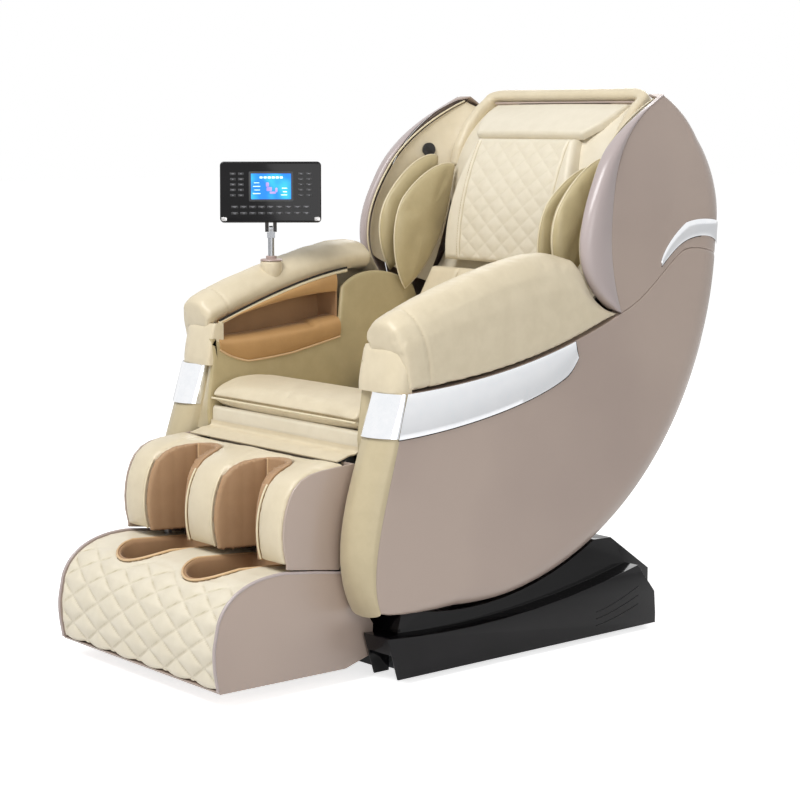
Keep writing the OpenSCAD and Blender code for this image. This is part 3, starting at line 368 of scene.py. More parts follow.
def baked(obj: Item, sharp: float | None = 40) -> Item:
    """Applies an object's modifiers to its mesh.

    Args:
        obj: The object.
        sharp: The angle in degrees for sharp edges, or None to keep the shading.

    Returns:
        The same object.
    """
    graph = bpy.context.evaluated_depsgraph_get()
    graph.update()
    made = bpy.data.meshes.new_from_object(obj.evaluated_get(graph))
    obj.modifiers.clear()
    old, obj.data = obj.data, made
    made.name = obj.name
    if old.users == 0:
        bpy.data.meshes.remove(old)
    if sharp is not None:
        shade(made, sharp)
    return obj


def copy_of(node: str, name: str) -> Item:
    """A copy of a CAD node's mesh with its doubles merged and its flat faces joined."""
    mesh = FRAME["nodes"][node].data.copy()
    mesh.materials.clear()
    work = bmesh.new()
    work.from_mesh(mesh)
    bmesh.ops.remove_doubles(work, verts=work.verts, dist=MERGE)
    bmesh.ops.dissolve_limit(work, angle_limit=radians(0.6), verts=work.verts, edges=work.edges)
    bmesh.ops.recalc_face_normals(work, faces=work.faces)
    work.to_mesh(mesh)
    work.free()
    mesh.name = name
    return placed(name, mesh)


def bevelled(obj: Item, width: float, segments: int = 3, angle: float = 32) -> Item:
    """Rounds the edges of a hard piece by a width in millimetres."""
    mod = obj.modifiers.new("edges", "BEVEL")
    mod.width, mod.segments, mod.limit_method = width * MM, segments, "ANGLE"
    mod.angle_limit, mod.use_clamp_overlap, mod.miter_outer = radians(angle), True, "MITER_ARC"
    return baked(obj, 30)


def remeshed(obj: Item, voxel: float, smooth: int) -> Item:
    """Turns a solid into an even mesh with soft edges: voxel in millimetres, smooth in passes."""
    mod = obj.modifiers.new("even", "REMESH")
    mod.mode, mod.voxel_size, mod.use_smooth_shade = "VOXEL", voxel * MM, True
    relax = obj.modifiers.new("relax", "SMOOTH")
    relax.factor, relax.iterations = 0.5, smooth
    return baked(obj, 180)


def points_of(mesh: bpy.types.Mesh) -> np.ndarray:
    """A mesh's points in metres, one to a row."""
    points = np.empty(len(mesh.vertices) * 3)
    mesh.vertices.foreach_get("co", points)
    return points.reshape(-1, 3)


def set_points(mesh: bpy.types.Mesh, points: np.ndarray) -> None:
    """Moves a mesh's points to other places in metres."""
    mesh.vertices.foreach_set("co", points.ravel())
    mesh.update()


def moved(obj: Item, offset: Callable[[np.ndarray, np.ndarray], np.ndarray]) -> Item:
    """Moves each vertex along its normal.

    Args:
        obj: The object.
        offset: Gives the distances in millimetres from the points in millimetres and the normals.

    Returns:
        The same object.
    """
    mesh = obj.data
    points, normals = points_of(mesh), np.empty(len(mesh.vertices) * 3)
    mesh.vertex_normals.foreach_get("vector", normals)
    normals = normals.reshape(-1, 3)
    set_points(mesh, points + normals * (offset(points / MM, normals) * MM)[:, None])
    return obj


def puffed(obj: Item, cap: float, pressure: float = 4.0, frames: int = 16) -> Item:
    """Fills a closed skin with air by cloth simulation, and lets no point move further than cap millimetres.

    Args:
        obj: An evenly meshed solid.
        cap: The furthest that a point may move, in millimetres.
        pressure: The cloth's pressure.
        frames: How many frames it runs.

    Returns:
        The same object with the result in its mesh.
    """
    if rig.quick():
        return obj
    before = points_of(obj.data)
    mod = obj.modifiers.new("air", "CLOTH")
    cloth = mod.settings
    cloth.quality, cloth.mass, cloth.air_damping = 5, 0.3, 4
    cloth.tension_stiffness = cloth.compression_stiffness = 15
    cloth.use_pressure, cloth.uniform_pressure_force = True, pressure
    cloth.effector_weights.gravity = 0
    mod.collision_settings.use_collision = False
    mod.point_cache.frame_start, mod.point_cache.frame_end = 1, frames
    for frame in range(1, frames + 1):
        bpy.context.scene.frame_set(frame)
    baked(obj, 180)
    bpy.context.scene.frame_set(1)
    step = points_of(obj.data) - before
    length = np.linalg.norm(step, axis=1)
    step *= np.minimum(1.0, cap * MM / np.maximum(length, 1e-9))[:, None]
    set_points(obj.data, before + step)
    return obj


def groove(distance: np.ndarray, depth: float, width: float) -> np.ndarray:
    """The inward step of a sewn seam at distances from its line, in millimetres."""
    return -depth * np.exp(-((distance / width) ** 2))


def quilt(u: np.ndarray, v: np.ndarray, pitch: float, height: float) -> np.ndarray:
    """The height of diamond quilting: puffed between lines of stitches that run both ways across."""
    a = np.abs(np.sin(np.pi * (u + v) / pitch))
    b = np.abs(np.sin(np.pi * (u - v) / pitch))
    return height * (np.minimum(a, b) ** 0.55) * (0.6 + 0.4 * np.maximum(a, b)) - height * 0.6


def tube(name: str, line: Sequence[Triple], radius: float, closed: bool = False, sides: int = 8) -> Item:
    """A round cord of piping along a line, as a mesh."""
    q = np.array(line, float)
    n = len(q)
    ahead = np.roll(q, -1, 0) if closed else np.vstack([q[1:], 2 * q[-1] - q[-2]])
    behind = np.roll(q, 1, 0) if closed else np.vstack([2 * q[0] - q[1], q[:-1]])
    rings: list[Ring] = []
    up = np.array([0.31, 0.17, 0.94])
    for i in range(n):
        d = ahead[i] - behind[i]
        d /= np.linalg.norm(d) or 1.0
        side = np.cross(d, up)
        side /= np.linalg.norm(side)
        top = np.cross(side, d)
        up = top
        turns = (2 * pi * k / sides for k in range(sides))
        rings.append([tuple(q[i] + radius * (cos(a) * side + sin(a) * top)) for a in turns])
    if closed:
        rings.append(rings[0])
    return loft(name, rings, caps=not closed, sharp=80)


# ---- Finishes


def linear(code: str) -> tuple[float, float, float, float]:
    """An sRGB hex colour as linear light, with alpha 1."""
    parts = [int(code[i : i + 2], 16) / 255 for i in (1, 3, 5)]
    return (*(c / 12.92 if c <= 0.04045 else ((c + 0.055) / 1.055) ** 2.4 for c in parts), 1.0)


@dataclass(frozen=True)
class Finish:
    """What a surface is made of: its name, its record slot and its two colours."""

    name: str
    slot: str
    light: str
    shade: str
    roughness: float = 0.45

    def begin(self) -> tuple[bpy.types.Material, Tree, Node]:
        """Makes an empty material with its shader and output."""
        material = bpy.data.materials.new(self.name)
        material.use_nodes = True
        tree = material.node_tree
        tree.nodes.clear()
        shader = add(tree, "BsdfPrincipled", Roughness=self.roughness)
        add(tree, "OutputMaterial", Surface=shader.outputs["BSDF"])
        return material, tree, shader

    def tint(self, tree: Tree, shader: Node, factor: Socket) -> Node:
        """Mixes the two colours by a factor into the shader's base colour."""
        blend = add(tree, "Mix", factor, data_type="RGBA")
        blend.inputs[6].default_value = linear(self.shade)
        blend.inputs[7].default_value = linear(self.light)
        tree.links.new(blend.outputs[2], shader.inputs["Base Color"])
        return blend

    def material(self) -> bpy.types.Material:
        """The finish as a Blender material, made once."""
        return bpy.data.materials.get(self.name) or self.build()

    def build(self) -> bpy.types.Material:
        """Makes the material's nodes."""
        raise NotImplementedError


def feed(tree: Tree, node: Node, *inputs: object, **values: object) -> None:
    """Sets a node's inputs, the first ones in order and others by name; an output socket is linked."""
    named = [(node.inputs[key.replace("_", " ")], value) for key, value in values.items()]
    for socket, value in [*zip(node.inputs, inputs), *named]:
        if isinstance(value, Socket):
            tree.links.new(value, socket)
        else:
            socket.default_value = value


def add(tree: Tree, kind: str, *inputs: object, **values: object) -> Node:
    """Adds a node to a tree.

    Args:
        tree: The shader or geometry tree.
        kind: The node's type without its "ShaderNode" or "GeometryNode" in front.
        inputs: What the node's first inputs are set to or linked to, in order.
        values: Names of the node's settings, or of its inputs with underscores for spaces, and what they are
            set to; an output socket is linked to the input.

    Returns:
        The new node.
    """
    prefix = "ShaderNode" if tree.bl_idname == "ShaderNodeTree" else "GeometryNode"
    try:
        node = tree.nodes.new(prefix + kind)
    except RuntimeError:
        node = tree.nodes.new(kind)
    settings = {k: v for k, v in values.items() if k.islower() and hasattr(node, k)}
    for key, value in settings.items():
        setattr(node, key, value)
    feed(tree, node, *inputs, **{k: v for k, v in values.items() if k not in settings})
    return node


def worn(tree: Tree, low: float, high: float) -> Socket:
    """Painted shade and highlight from the mesh's own curvature: 0 in creases and flats and 1 on outer edges."""
    bend = add(tree, "NewGeometry").outputs["Pointiness"]
    return add(tree, "MapRange", bend, low, high, **SMOOTH).outputs["Result"]


@dataclass(frozen=True)
class Leather(Finish):
    """Embossed upholstery leather: pebbled grain, soft sheen, painted shade in its creases and faint stretch folds."""

    grain_mm: float = 1.6  # real grain is 0.6 to 1 mm and is drawn coarser, so that it shows
    depth: float = 0.35
    fold: float = 0.25

    def build(self) -> bpy.types.Material:
        """Voronoi pebbles over slow folds, with painted shade in the creases."""
        material, tree, shader = self.begin()
        place = add(tree, "TexCoord").outputs["Object"]
        pebble = add(
            tree, "TexVoronoi", feature="SMOOTH_F1", Vector=place, Scale=1 / (self.grain_mm * MM), Smoothness=0.6
        ).outputs["Distance"]
        folds = add(tree, "TexNoise", Vector=place, Scale=9.0, Detail=3.0, Roughness=0.55, Distortion=0.6)
        cloud = add(tree, "TexNoise", Vector=place, Scale=26.0, Detail=5.0, Roughness=0.6).outputs["Fac"]
        mottle = add(tree, "MapRange", cloud, 0.3, 0.7, 0.86, **SMOOTH).outputs["Result"]
        # painted shade: creases take the shade colour, times a random mottle
        self.tint(tree, shader, add(tree, "Math", worn(tree, 0.42, 0.5), mottle, operation="MULTIPLY").outputs[0])
        gloss = add(tree, "Math", cloud, 0.16, self.roughness - 0.08, operation="MULTIPLY_ADD").outputs[0]
        rough = add(tree, "Bump", Strength=self.depth, Distance=0.0004, Height=pebble, invert=True).outputs["Normal"]
        soft = add(tree, "Bump", Strength=self.fold, Distance=0.004, Height=folds.outputs["Fac"], Normal=rough)
        normal = soft.outputs["Normal"]
        feed(tree, shader, Roughness=gloss, Normal=normal, Sheen_Weight=0.12, Specular_IOR_Level=0.45)
        return material


@dataclass(frozen=True)
class SatinPaint(Finish):
    """Satin lacquer on moulded ABS: an even pearl tone, a soft broad gloss and a very fine orange peel."""

    coat: float = 0.35
    peel: float = 0.06

    def build(self) -> bpy.types.Material:
        """Slow tone drift, pearl flake and orange peel under a clear coat."""
        material, tree, shader = self.begin()
        place = add(tree, "TexCoord").outputs["Object"]
        drift = add(tree, "TexNoise", Vector=place, Scale=2.2, Detail=2.0).outputs["Fac"]
        flake = add(tree, "TexVoronoi", Vector=place, Scale=900.0).outputs["Distance"]
        slow = add(tree, "MapRange", drift, 0.3, 0.7, **SMOOTH).outputs["Result"]
        self.tint(tree, shader, add(tree, "Math", flake, 0.25, slow, operation="MULTIPLY_ADD").outputs[0])
        peel = add(tree, "TexNoise", Vector=place, Scale=420.0, Detail=1.0).outputs["Fac"]
        bump = add(tree, "Bump", Strength=self.peel, Distance=0.0004, Height=peel).outputs["Normal"]
        feed(tree, shader, Normal=bump, Coat_Weight=self.coat, Coat_Roughness=0.22)
        return material


@dataclass(frozen=True)
class Metal(Finish):
    """Bare or plated metal, with polishing or brushing marks of a given stretch."""

    stretch: Triple = (1.0, 1.0, 1.0)
    mark: float = 0.02
    scale: float = 240.0

    def build(self) -> bpy.types.Material:
        """Metallic shader with stretched marks in its roughness and bump."""
        material, tree, shader = self.begin()
        place = add(tree, "TexCoord").outputs["Object"]
        turned = add(tree, "Mapping", Vector=place, Scale=self.stretch).outputs["Vector"]
        marks = add(tree, "TexNoise", Vector=turned, Scale=self.scale, Detail=4.0, Roughness=0.65).outputs["Fac"]
        self.tint(tree, shader, add(tree, "MapRange", marks, 0.3, 0.7, **SMOOTH).outputs["Result"])
        gain, floor = self.mark * 4, self.roughness - self.mark * 2
        gloss = add(tree, "Math", marks, gain, floor, operation="MULTIPLY_ADD").outputs[0]
        bump = add(tree, "Bump", Strength=self.mark, Distance=0.0003, Height=marks).outputs["Normal"]
        feed(tree, shader, Roughness=gloss, Normal=bump, Metallic=1.0)
        return material


@dataclass(frozen=True)
class Plastic(Finish):
    """Moulded plastic or powder coat: a spark-eroded texture, with a painted highlight that makes its outer edges
    paler.
    """

    texture_mm: float = 0.9
    depth: float = 0.2
    coat: float = 0.0
    specular: float = 0.5

    def build(self) -> bpy.types.Material:
        """Fine noise bump, with a painted highlight on the outer edges."""
        material, tree, shader = self.begin()
        place = add(tree, "TexCoord").outputs["Object"]
        grit = add(tree, "TexNoise", Vector=place, Scale=1 / (self.texture_mm * MM), Detail=2.0).outputs["Fac"]
        cloud = add(tree, "TexNoise", Vector=place, Scale=14.0, Detail=4.0).outputs["Fac"]
        mottle = add(tree, "MapRange", cloud, 0.3, 0.7, **SMOOTH).outputs["Result"]
        # painted highlight: outer edges take the light colour, flats and creases the shade colour
        self.tint(tree, shader, add(tree, "Math", worn(tree, 0.5, 0.6), mottle, operation="MULTIPLY").outputs[0])
        gain, floor = self.roughness * 0.4, self.roughness * 0.8
        gloss = add(tree, "Math", cloud, gain, floor, operation="MULTIPLY_ADD").outputs[0]
        bump = add(tree, "Bump", Strength=self.depth, Distance=0.0003, Height=grit).outputs["Normal"]
        feed(tree, shader, Roughness=gloss, Normal=bump, Coat_Weight=self.coat, Coat_Roughness=0.05)
        feed(tree, shader, Specular_IOR_Level=self.specular)
        return material


@dataclass(frozen=True)
class Board(Finish):
    """Plain board: long grain along X."""

    def build(self) -> bpy.types.Material:
        """Noise stretched along the grain."""
        material, tree, shader = self.begin()
        place = add(tree, "TexCoord").outputs["Object"]
        turned = add(tree, "Mapping", Vector=place, Scale=(1.0, 12.0, 12.0)).outputs["Vector"]
        grain = add(tree, "TexNoise", Vector=turned, Scale=14.0, Detail=8.0, Roughness=0.7).outputs["Fac"]
        self.tint(tree, shader, add(tree, "MapRange", grain, 0.3, 0.7, **SMOOTH).outputs["Result"])
        bump = add(tree, "Bump", Strength=0.2, Distance=0.0004, Height=grain).outputs["Normal"]
        feed(tree, shader, Normal=bump)
        return material


@dataclass(frozen=True)
class Glow(Finish):
    """A lit display or icon: a backlight with its two colours mixed by slow noise."""

    strength: float = 0.8

    def build(self) -> bpy.types.Material:
        """Two colours mixed by slow noise, given off as light."""
        material, tree, shader = self.begin()
        place = add(tree, "TexCoord").outputs["Object"]
        cloud = add(tree, "TexNoise", Vector=place, Scale=22.0, Detail=1.0).outputs["Fac"]
        blend = self.tint(tree, shader, add(tree, "MapRange", cloud, 0.35, 0.65, **SMOOTH).outputs["Result"])
        feed(tree, shader, Emission_Color=blend.outputs[2], Emission_Strength=self.strength)
        return material


SHELL = SatinPaint("shell satin lacquer on ABS", "shell", "#B4A296", "#A6948A", 0.34)
RIM = SatinPaint("rim satin lacquer on ABS", "rim", "#B8ABA9", "#A89B99", 0.32)
CREAM = Leather("cream upholstery leather", "cream", "#DDD0B4", "#AB9975", 0.38)
PALE = Leather("pale quilted leather", "cream", "#E4DBC6", "#BAAC8A", 0.42, fold=0.1)
# Painted shade: a darker copy of the cream leather, for the inner panels, shoulder bags and their link
SHADED_LEATHER = Leather("shaded upholstery leather", "olive", "#BBAC84", "#85754F", 0.4)
# Painted shade: a darker copy of the cream leather, for the front trims and webs
SHADED_TRIM = Leather("front trim leather", "cream", "#C3B594", "#8F8160", 0.4, fold=0.15)
TAN = Leather("tan airbag leather", "tan", "#BD935F", "#85602F", 0.46, grain_mm=1.3)
CALF_TAN = Leather("brown calf leather", "tan", "#B08C68", "#7E5E40", 0.5, grain_mm=1.3)
PIPING = Leather("piping leather", "cream", "#E3D7B8", "#B5A682", 0.4, grain_mm=1.0, fold=0.0)
TAN_PIPING = Leather("tan piping leather", "tan", "#D9B98E", "#A47E55", 0.45, grain_mm=1.0, fold=0.0)
THREAD = Plastic("stitching thread", "cream", "#D8CCAC", "#B9AB86", 0.7, texture_mm=0.5, depth=0.5)
CHROME = Metal("bright chrome plate", "bright", "#F7F8FA", "#F1F3F6", 0.14, mark=0.002, scale=40)
STEEL = Plastic("powder-coated steel tube", "steel", "#74767A", "#505256", 0.45, texture_mm=1.2, depth=0.25)
SHAFT = Metal("brushed steel rod", "shaft", "#C2C4C8", "#94969A", 0.3, (0.2, 6.0, 6.0), 0.08)
GLOSS_BLACK = Plastic(
    "gloss black ABS", "black_gloss", "#1B191D", "#0B0A0C", 0.12, texture_mm=5, depth=0.02, coat=0.1, specular=0.2
)
MATT_BLACK = Plastic("spark-eroded black ABS", "black_matte", "#38383B", "#1F1F21", 0.5)
SILVER = Metal("satin silver paint", "shaft", "#C9C7C6", "#A9A7A6", 0.32, mark=0.02)
RUBBER = Plastic("moulded rubber", "rubber", "#3B3B3B", "#222222", 0.75, texture_mm=1.5, depth=0.4, specular=0.25)
NYLON = Plastic("cast nylon", "nylon", "#E4E2DA", "#C8C6BC", 0.5)
MOTOR = Plastic("painted cast motor housing", "motor", "#55575B", "#333539", 0.5, texture_mm=2.5, depth=0.5)
BOARD = Board("birch board", "board", "#C9A878", "#A88352", 0.6)
ROSETTE = Plastic("rosette moulding", "black_matte", "#BFA9A2", "#A8928B", 0.35)
# Painted shadow: dark lines and dots put where gaps, holes and sockets lie in shade
PAINTED_SHADOW = Plastic("shadow gap lining", "black_matte", "#241F1A", "#15110D", 0.9)
SWITCH_RED = Plastic("red rocker", "switch_red", "#C23A36", "#8E1F1D", 0.3, coat=0.3)
SCREEN = Glow("lit display", "screen", "#2FA6F2", "#1570D6", 0.0, 0.85)
ICON = Glow("lit icon", "screen", "#EAF6FF", "#BFE4FF", 0.3, 0.9)
ACCENT = Glow("violet figure", "screen", "#B9A2F2", "#8F7BE0", 0.3, 0.8)
KEY_MARK = Plastic("grey key marks", "black_matte", "#9A9AA0", "#7C7C82", 0.5)

NODE_FINISH: dict[str, Finish] = {
    "base_frame": STEEL,
    "arc_rails": SHAFT,
    "base_feet": RUBBER,
    "mains_switch": SWITCH_RED,
    "control_box": STEEL,
    "seat_frame": STEEL,
    "glide_shoes": NYLON,
    "massage_rails": STEEL,
    "seat_pan": BOARD,
    "air_pump": MOTOR,
    "carriage_frame": STEEL,
    "massage_heads": MATT_BLACK,
    "knead_shaft": SHAFT,
    "calf_frame": STEEL,
    "foot_rods": SHAFT,
    "foot_rollers": RUBBER,
    "rock_actuator": MOTOR,
    "rock_rod": SHAFT,
    "leg_actuator": MOTOR,
    "leg_rod": SHAFT,
    "panel_post": SHAFT,
    "wheel_left": RUBBER,
    "wheel_right": RUBBER,
    "mains_inlet": MATT_BLACK,
    "speakers": MATT_BLACK,
}


def dress(obj: Item, finish: Finish, body: str, *stands_for: str, pad: float | None = None) -> Item:
    """Gives a finished piece its material and ties it to the frame.

    Args:
        obj: The piece.
        finish: What it is made of.
        body: The CAD body it moves with.
        stands_for: The CAD nodes it replaces.
        pad: How full it is, for a padded piece.

    Returns:
        The same object.
    """
    obj.data.materials.clear()
    obj.data.materials.append(finish.material())
    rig.ride(obj, body)
    if stands_for:
        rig.replaces(obj, *stands_for)
    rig.slot(obj, finish.slot)
    if pad is not None:
        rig.padded(obj, fill=pad)
    LOG.info("%s on %s: %d faces", obj.name, body, len(obj.data.polygons))
    return obj


# ---- Repeats with Geometry Nodes


def instances(name: str, base: Item, tree: Tree, values: dict[str, float]) -> Item:
    """Runs a Geometry Nodes tree on a base object and keeps the result as a plain mesh.

    Args:
        name: The piece's name.
        base: The object the tree starts from; it is removed.
        tree: The tree.
        values: The tree's named inputs.

    Returns:
        The new mesh object.
    """
    mod = base.modifiers.new("repeat", "NODES")
    mod.node_group = tree
    sockets = {s.name: s.identifier for s in tree.interface.items_tree if getattr(s, "in_out", "") == "INPUT"}
    for key, value in values.items():
        mod[sockets[key]] = value
    graph = bpy.context.evaluated_depsgraph_get()
    graph.update()
    mesh = bpy.data.meshes.new_from_object(base.evaluated_get(graph))
    mesh.name = name
    shade(mesh, 40)
    obj = placed(name, mesh)
    bpy.data.objects.remove(base)
    return obj


def new_tree(name: str, inputs: dict[str, float]) -> tuple[Tree, Node, Node]:
    """A Geometry Nodes tree with named float inputs, its input node and its output node."""
    tree = bpy.data.node_groups.new(name, "GeometryNodeTree")
    face = tree.interface
    face.new_socket("Geometry", in_out="INPUT", socket_type="NodeSocketGeometry")
    for key, value in inputs.items():
        face.new_socket(key, in_out="INPUT", socket_type="NodeSocketFloat").default_value = value
    face.new_socket("Geometry", in_out="OUTPUT", socket_type="NodeSocketGeometry")
    return tree, tree.nodes.new("NodeGroupInput"), tree.nodes.new("NodeGroupOutput")


def lay(tree: Tree, points: Socket, piece: Socket, turn: Socket, finish: Finish, end: Node) -> None:
    """Lays a small piece on each point, and ends the tree with real faces in their finish."""
    laid = add(tree, "InstanceOnPoints", Points=points, Instance=piece, Rotation=turn)
    real = add(tree, "RealizeInstances", Geometry=laid.outputs["Instances"])
    dressed = add(tree, "SetMaterial", Geometry=real.outputs["Geometry"], Material=finish.material())
    feed(tree, end, dressed.outputs["Geometry"])


@dataclass(frozen=True)
class StitchRow:
    """Thread that runs along a seam: one capsule to each stitch."""

    pitch: float = 5.0
    length: float = 3.4
    radius: float = 0.55

    def tree(self, finish: Finish) -> Tree:
        """Resamples the seam by the pitch and lays one stitch along it at each point."""
        tree, start, end = new_tree("stitches", {"Pitch": 0.005, "Length": 0.0034, "Radius": 0.0006})
        even = add(tree, "ResampleCurve", Curve=start.outputs["Geometry"])
        if hasattr(even, "mode"):
            even.mode = "LENGTH"
        tree.links.new(start.outputs["Pitch"], even.inputs["Length"])
        points = add(tree, "CurveToPoints", Curve=even.outputs["Curve"], mode="EVALUATED")
        thread = add(tree, "MeshCylinder", Vertices=5, Radius=start.outputs["Radius"], Depth=start.outputs["Length"])
        lay(tree, points.outputs["Points"], thread.outputs["Mesh"], points.outputs["Rotation"], finish, end)
        return tree

    def sew(self, name: str, lines: Sequence[Sequence[Triple]], body: str, finish: Finish = THREAD) -> Item:
        """Sews rows of stitches along lines in millimetres, as one piece."""
        curve = bpy.data.curves.new(name + "_line", "CURVE")
        curve.dimensions = "3D"
        for line in lines:
            spline = curve.splines.new("POLY")
            spline.points.add(len(line) - 1)
            for point, place in zip(spline.points, line):
                point.co = (*(c * MM for c in place), 1.0)
        base = placed(name + "_line", curve)
        values = {"Pitch": self.pitch * MM, "Length": self.length * MM, "Radius": self.radius * MM}
        return dress(instances(name, base, self.tree(finish), values), finish, body)


@dataclass(frozen=True)
class DotRow:
    """Small round pieces at given points: screw heads, or the holes of a grille."""

    radius: float
    height: float
    sides: int = 10

    def tree(self, finish: Finish) -> Tree:
        """Stands one short cylinder on each point, along the point's own facing."""
        tree, start, end = new_tree("dots", {"Radius": 0.003, "Height": 0.001})
        head = add(
            tree, "MeshCylinder", Vertices=self.sides, Radius=start.outputs["Radius"], Depth=start.outputs["Height"]
        )
        facing = add(tree, "InputNamedAttribute", data_type="FLOAT_VECTOR", Name="facing")
        turn = add(tree, "FunctionNodeAlignRotationToVector", Vector=facing.outputs["Attribute"])
        lay(tree, start.outputs["Geometry"], head.outputs["Mesh"], turn.outputs["Rotation"], finish, end)
        return tree

    def set_out(self, name: str, places: Sequence[tuple[Triple, Triple]], body: str, finish: Finish) -> Item:
        """Puts one dot at each place in millimetres, turned along its facing, as one piece."""
        mesh = bpy.data.meshes.new(name + "_points")
        mesh.from_pydata([tuple(c * MM for c in p) for p, _ in places], [], [])
        facing = mesh.attributes.new("facing", "FLOAT_VECTOR", "POINT")
        facing.data.foreach_set("vector", [c for _, d in places for c in d])
        base = placed(name + "_points", mesh)
        values = {"Radius": self.radius * MM, "Height": self.height * MM}
        return dress(instances(name, base, self.tree(finish), values), finish, body)


# ---- Shared shapes


def along(q: np.ndarray, line: Line) -> tuple[np.ndarray, np.ndarray]:
    """How far along a line each point's nearest place is, and how far off the line the point is."""
    p = np.array(line, float)
    seg = np.diff(p, axis=0)
    size = np.linalg.norm(seg, axis=1)
    start = np.concatenate([[0.0], np.cumsum(size)])
    best, run = np.full(len(q), 1e9), np.zeros(len(q))
    for i in range(len(seg)):
        t = np.clip(((q - p[i]) @ seg[i]) / max(size[i] ** 2, 1e-9), 0, 1)
        d = np.linalg.norm(q - (p[i] + t[:, None] * seg[i]), axis=1)
        near = d < best
        best[near], run[near] = d[near], start[i] + t[near] * size[i]
    return run, best


def off_line(points: np.ndarray, line: Line) -> np.ndarray:
    """How far points lie from a line in (y, z), seen along X."""
    return along(points[:, 1:], line)[1]


def pad_sheet(
    name: str,
    line: Sequence[Pair],
    halves: Sequence[float],
    thick: float,
    relief: Callable[[np.ndarray, np.ndarray], np.ndarray],
    step: float = 5.0,
    edge: float = 14.0,
) -> Item:
    """Makes a closed pad over a line in (y, z) from a fine grid.

    Args:
        name: The piece's name.
        line: The middle of the front face, from its lower end up.
        halves: The half width at each point of the line.
        thick: The thickness behind the face.
        relief: Gives the height of the front face from x and the run up the line, both as grids.
        step: The grid's spacing.
        edge: The rounding of the front edges.

    Returns:
        The pad.
    """
    run = sum(math.dist(a, b) for a, b in zip(line, line[1:]))
    rows, cols = max(6, round(run / step)), max(6, round(2 * max(halves) / step))
    face = np.array(resampled(line, rows))
    half = np.interp(np.linspace(0, 1, rows + 1), np.linspace(0, 1, len(halves)), halves)
    d = np.gradient(face, axis=0)
    d /= np.linalg.norm(d, axis=1)[:, None]
    front = np.stack([-d[:, 1], d[:, 0]], axis=1)
    u = np.linspace(-1, 1, cols + 1)
    x = half[:, None] * u[None, :]
    s = np.repeat(np.linspace(0, run, rows + 1)[:, None], cols + 1, 1)
    near = np.minimum(np.minimum(s, run - s), half[:, None] - np.abs(x))
    fall = edge - np.sqrt(np.maximum(0, edge**2 - (edge - np.minimum(near, edge)) ** 2))
    high = relief(x, s) * np.minimum(1, near / edge) - fall
    points, faces = [], []
    for k in (0, 1):
        for i in range(rows + 1):
            for j in range(cols + 1):
                h = high[i, j] if k == 0 else -thick
                points.append((x[i, j], face[i, 0] + front[i, 0] * h, face[i, 1] + front[i, 1] * h))
    n, m = cols + 1, (rows + 1) * (cols + 1)
    for k in (0, m):
        faces += [
            [k + i * n + j, k + i * n + j + 1, k + (i + 1) * n + j + 1, k + (i + 1) * n + j]
            for i in range(rows) for j in range(cols)
        ]
    border = (
        [j for j in range(n)] + [i * n + cols for i in range(1, rows + 1)]
        + [rows * n + j for j in range(cols - 1, -1, -1)] + [i * n for i in range(rows - 1, 0, -1)]
    )
    faces += [[a, b, b + m, a + m] for a, b in zip(border, border[1:] + border[:1])]
    return mesh_object(name, points, faces, sharp=70)


def lens(name: str, x0: float, x1: float, outline: Sequence[Pair], levels: int = 12) -> Item:
    """Makes a leaf-shaped bag: an outline in (y, z) that swells between x0 and x1."""
    c = (sum(p[0] for p in outline) / len(outline), sum(p[1] for p in outline) / len(outline))
    rings: list[Ring] = []
    for i in range(levels + 1):
        a = pi * i / levels
        k = mix(0.32, 1.0, sin(a) ** 0.55)
        x = mix(x0, x1, (1 - cos(a)) / 2)
        rings.append([(x, c[0] + (q[0] - c[0]) * k, c[1] + (q[1] - c[1]) * k) for q in outline])
    return loft(name, rings, sharp=60)


def soft_copy(node: str, name: str, voxel: float = 4.5, smooth: int = 6, shrink: float = 1.5) -> Item:
    """A soft, evenly meshed copy of a CAD node, slightly smaller than it."""
    obj = remeshed(copy_of(node, name), voxel, smooth)
    return moved(obj, lambda p, n: np.full(len(p), -shrink))


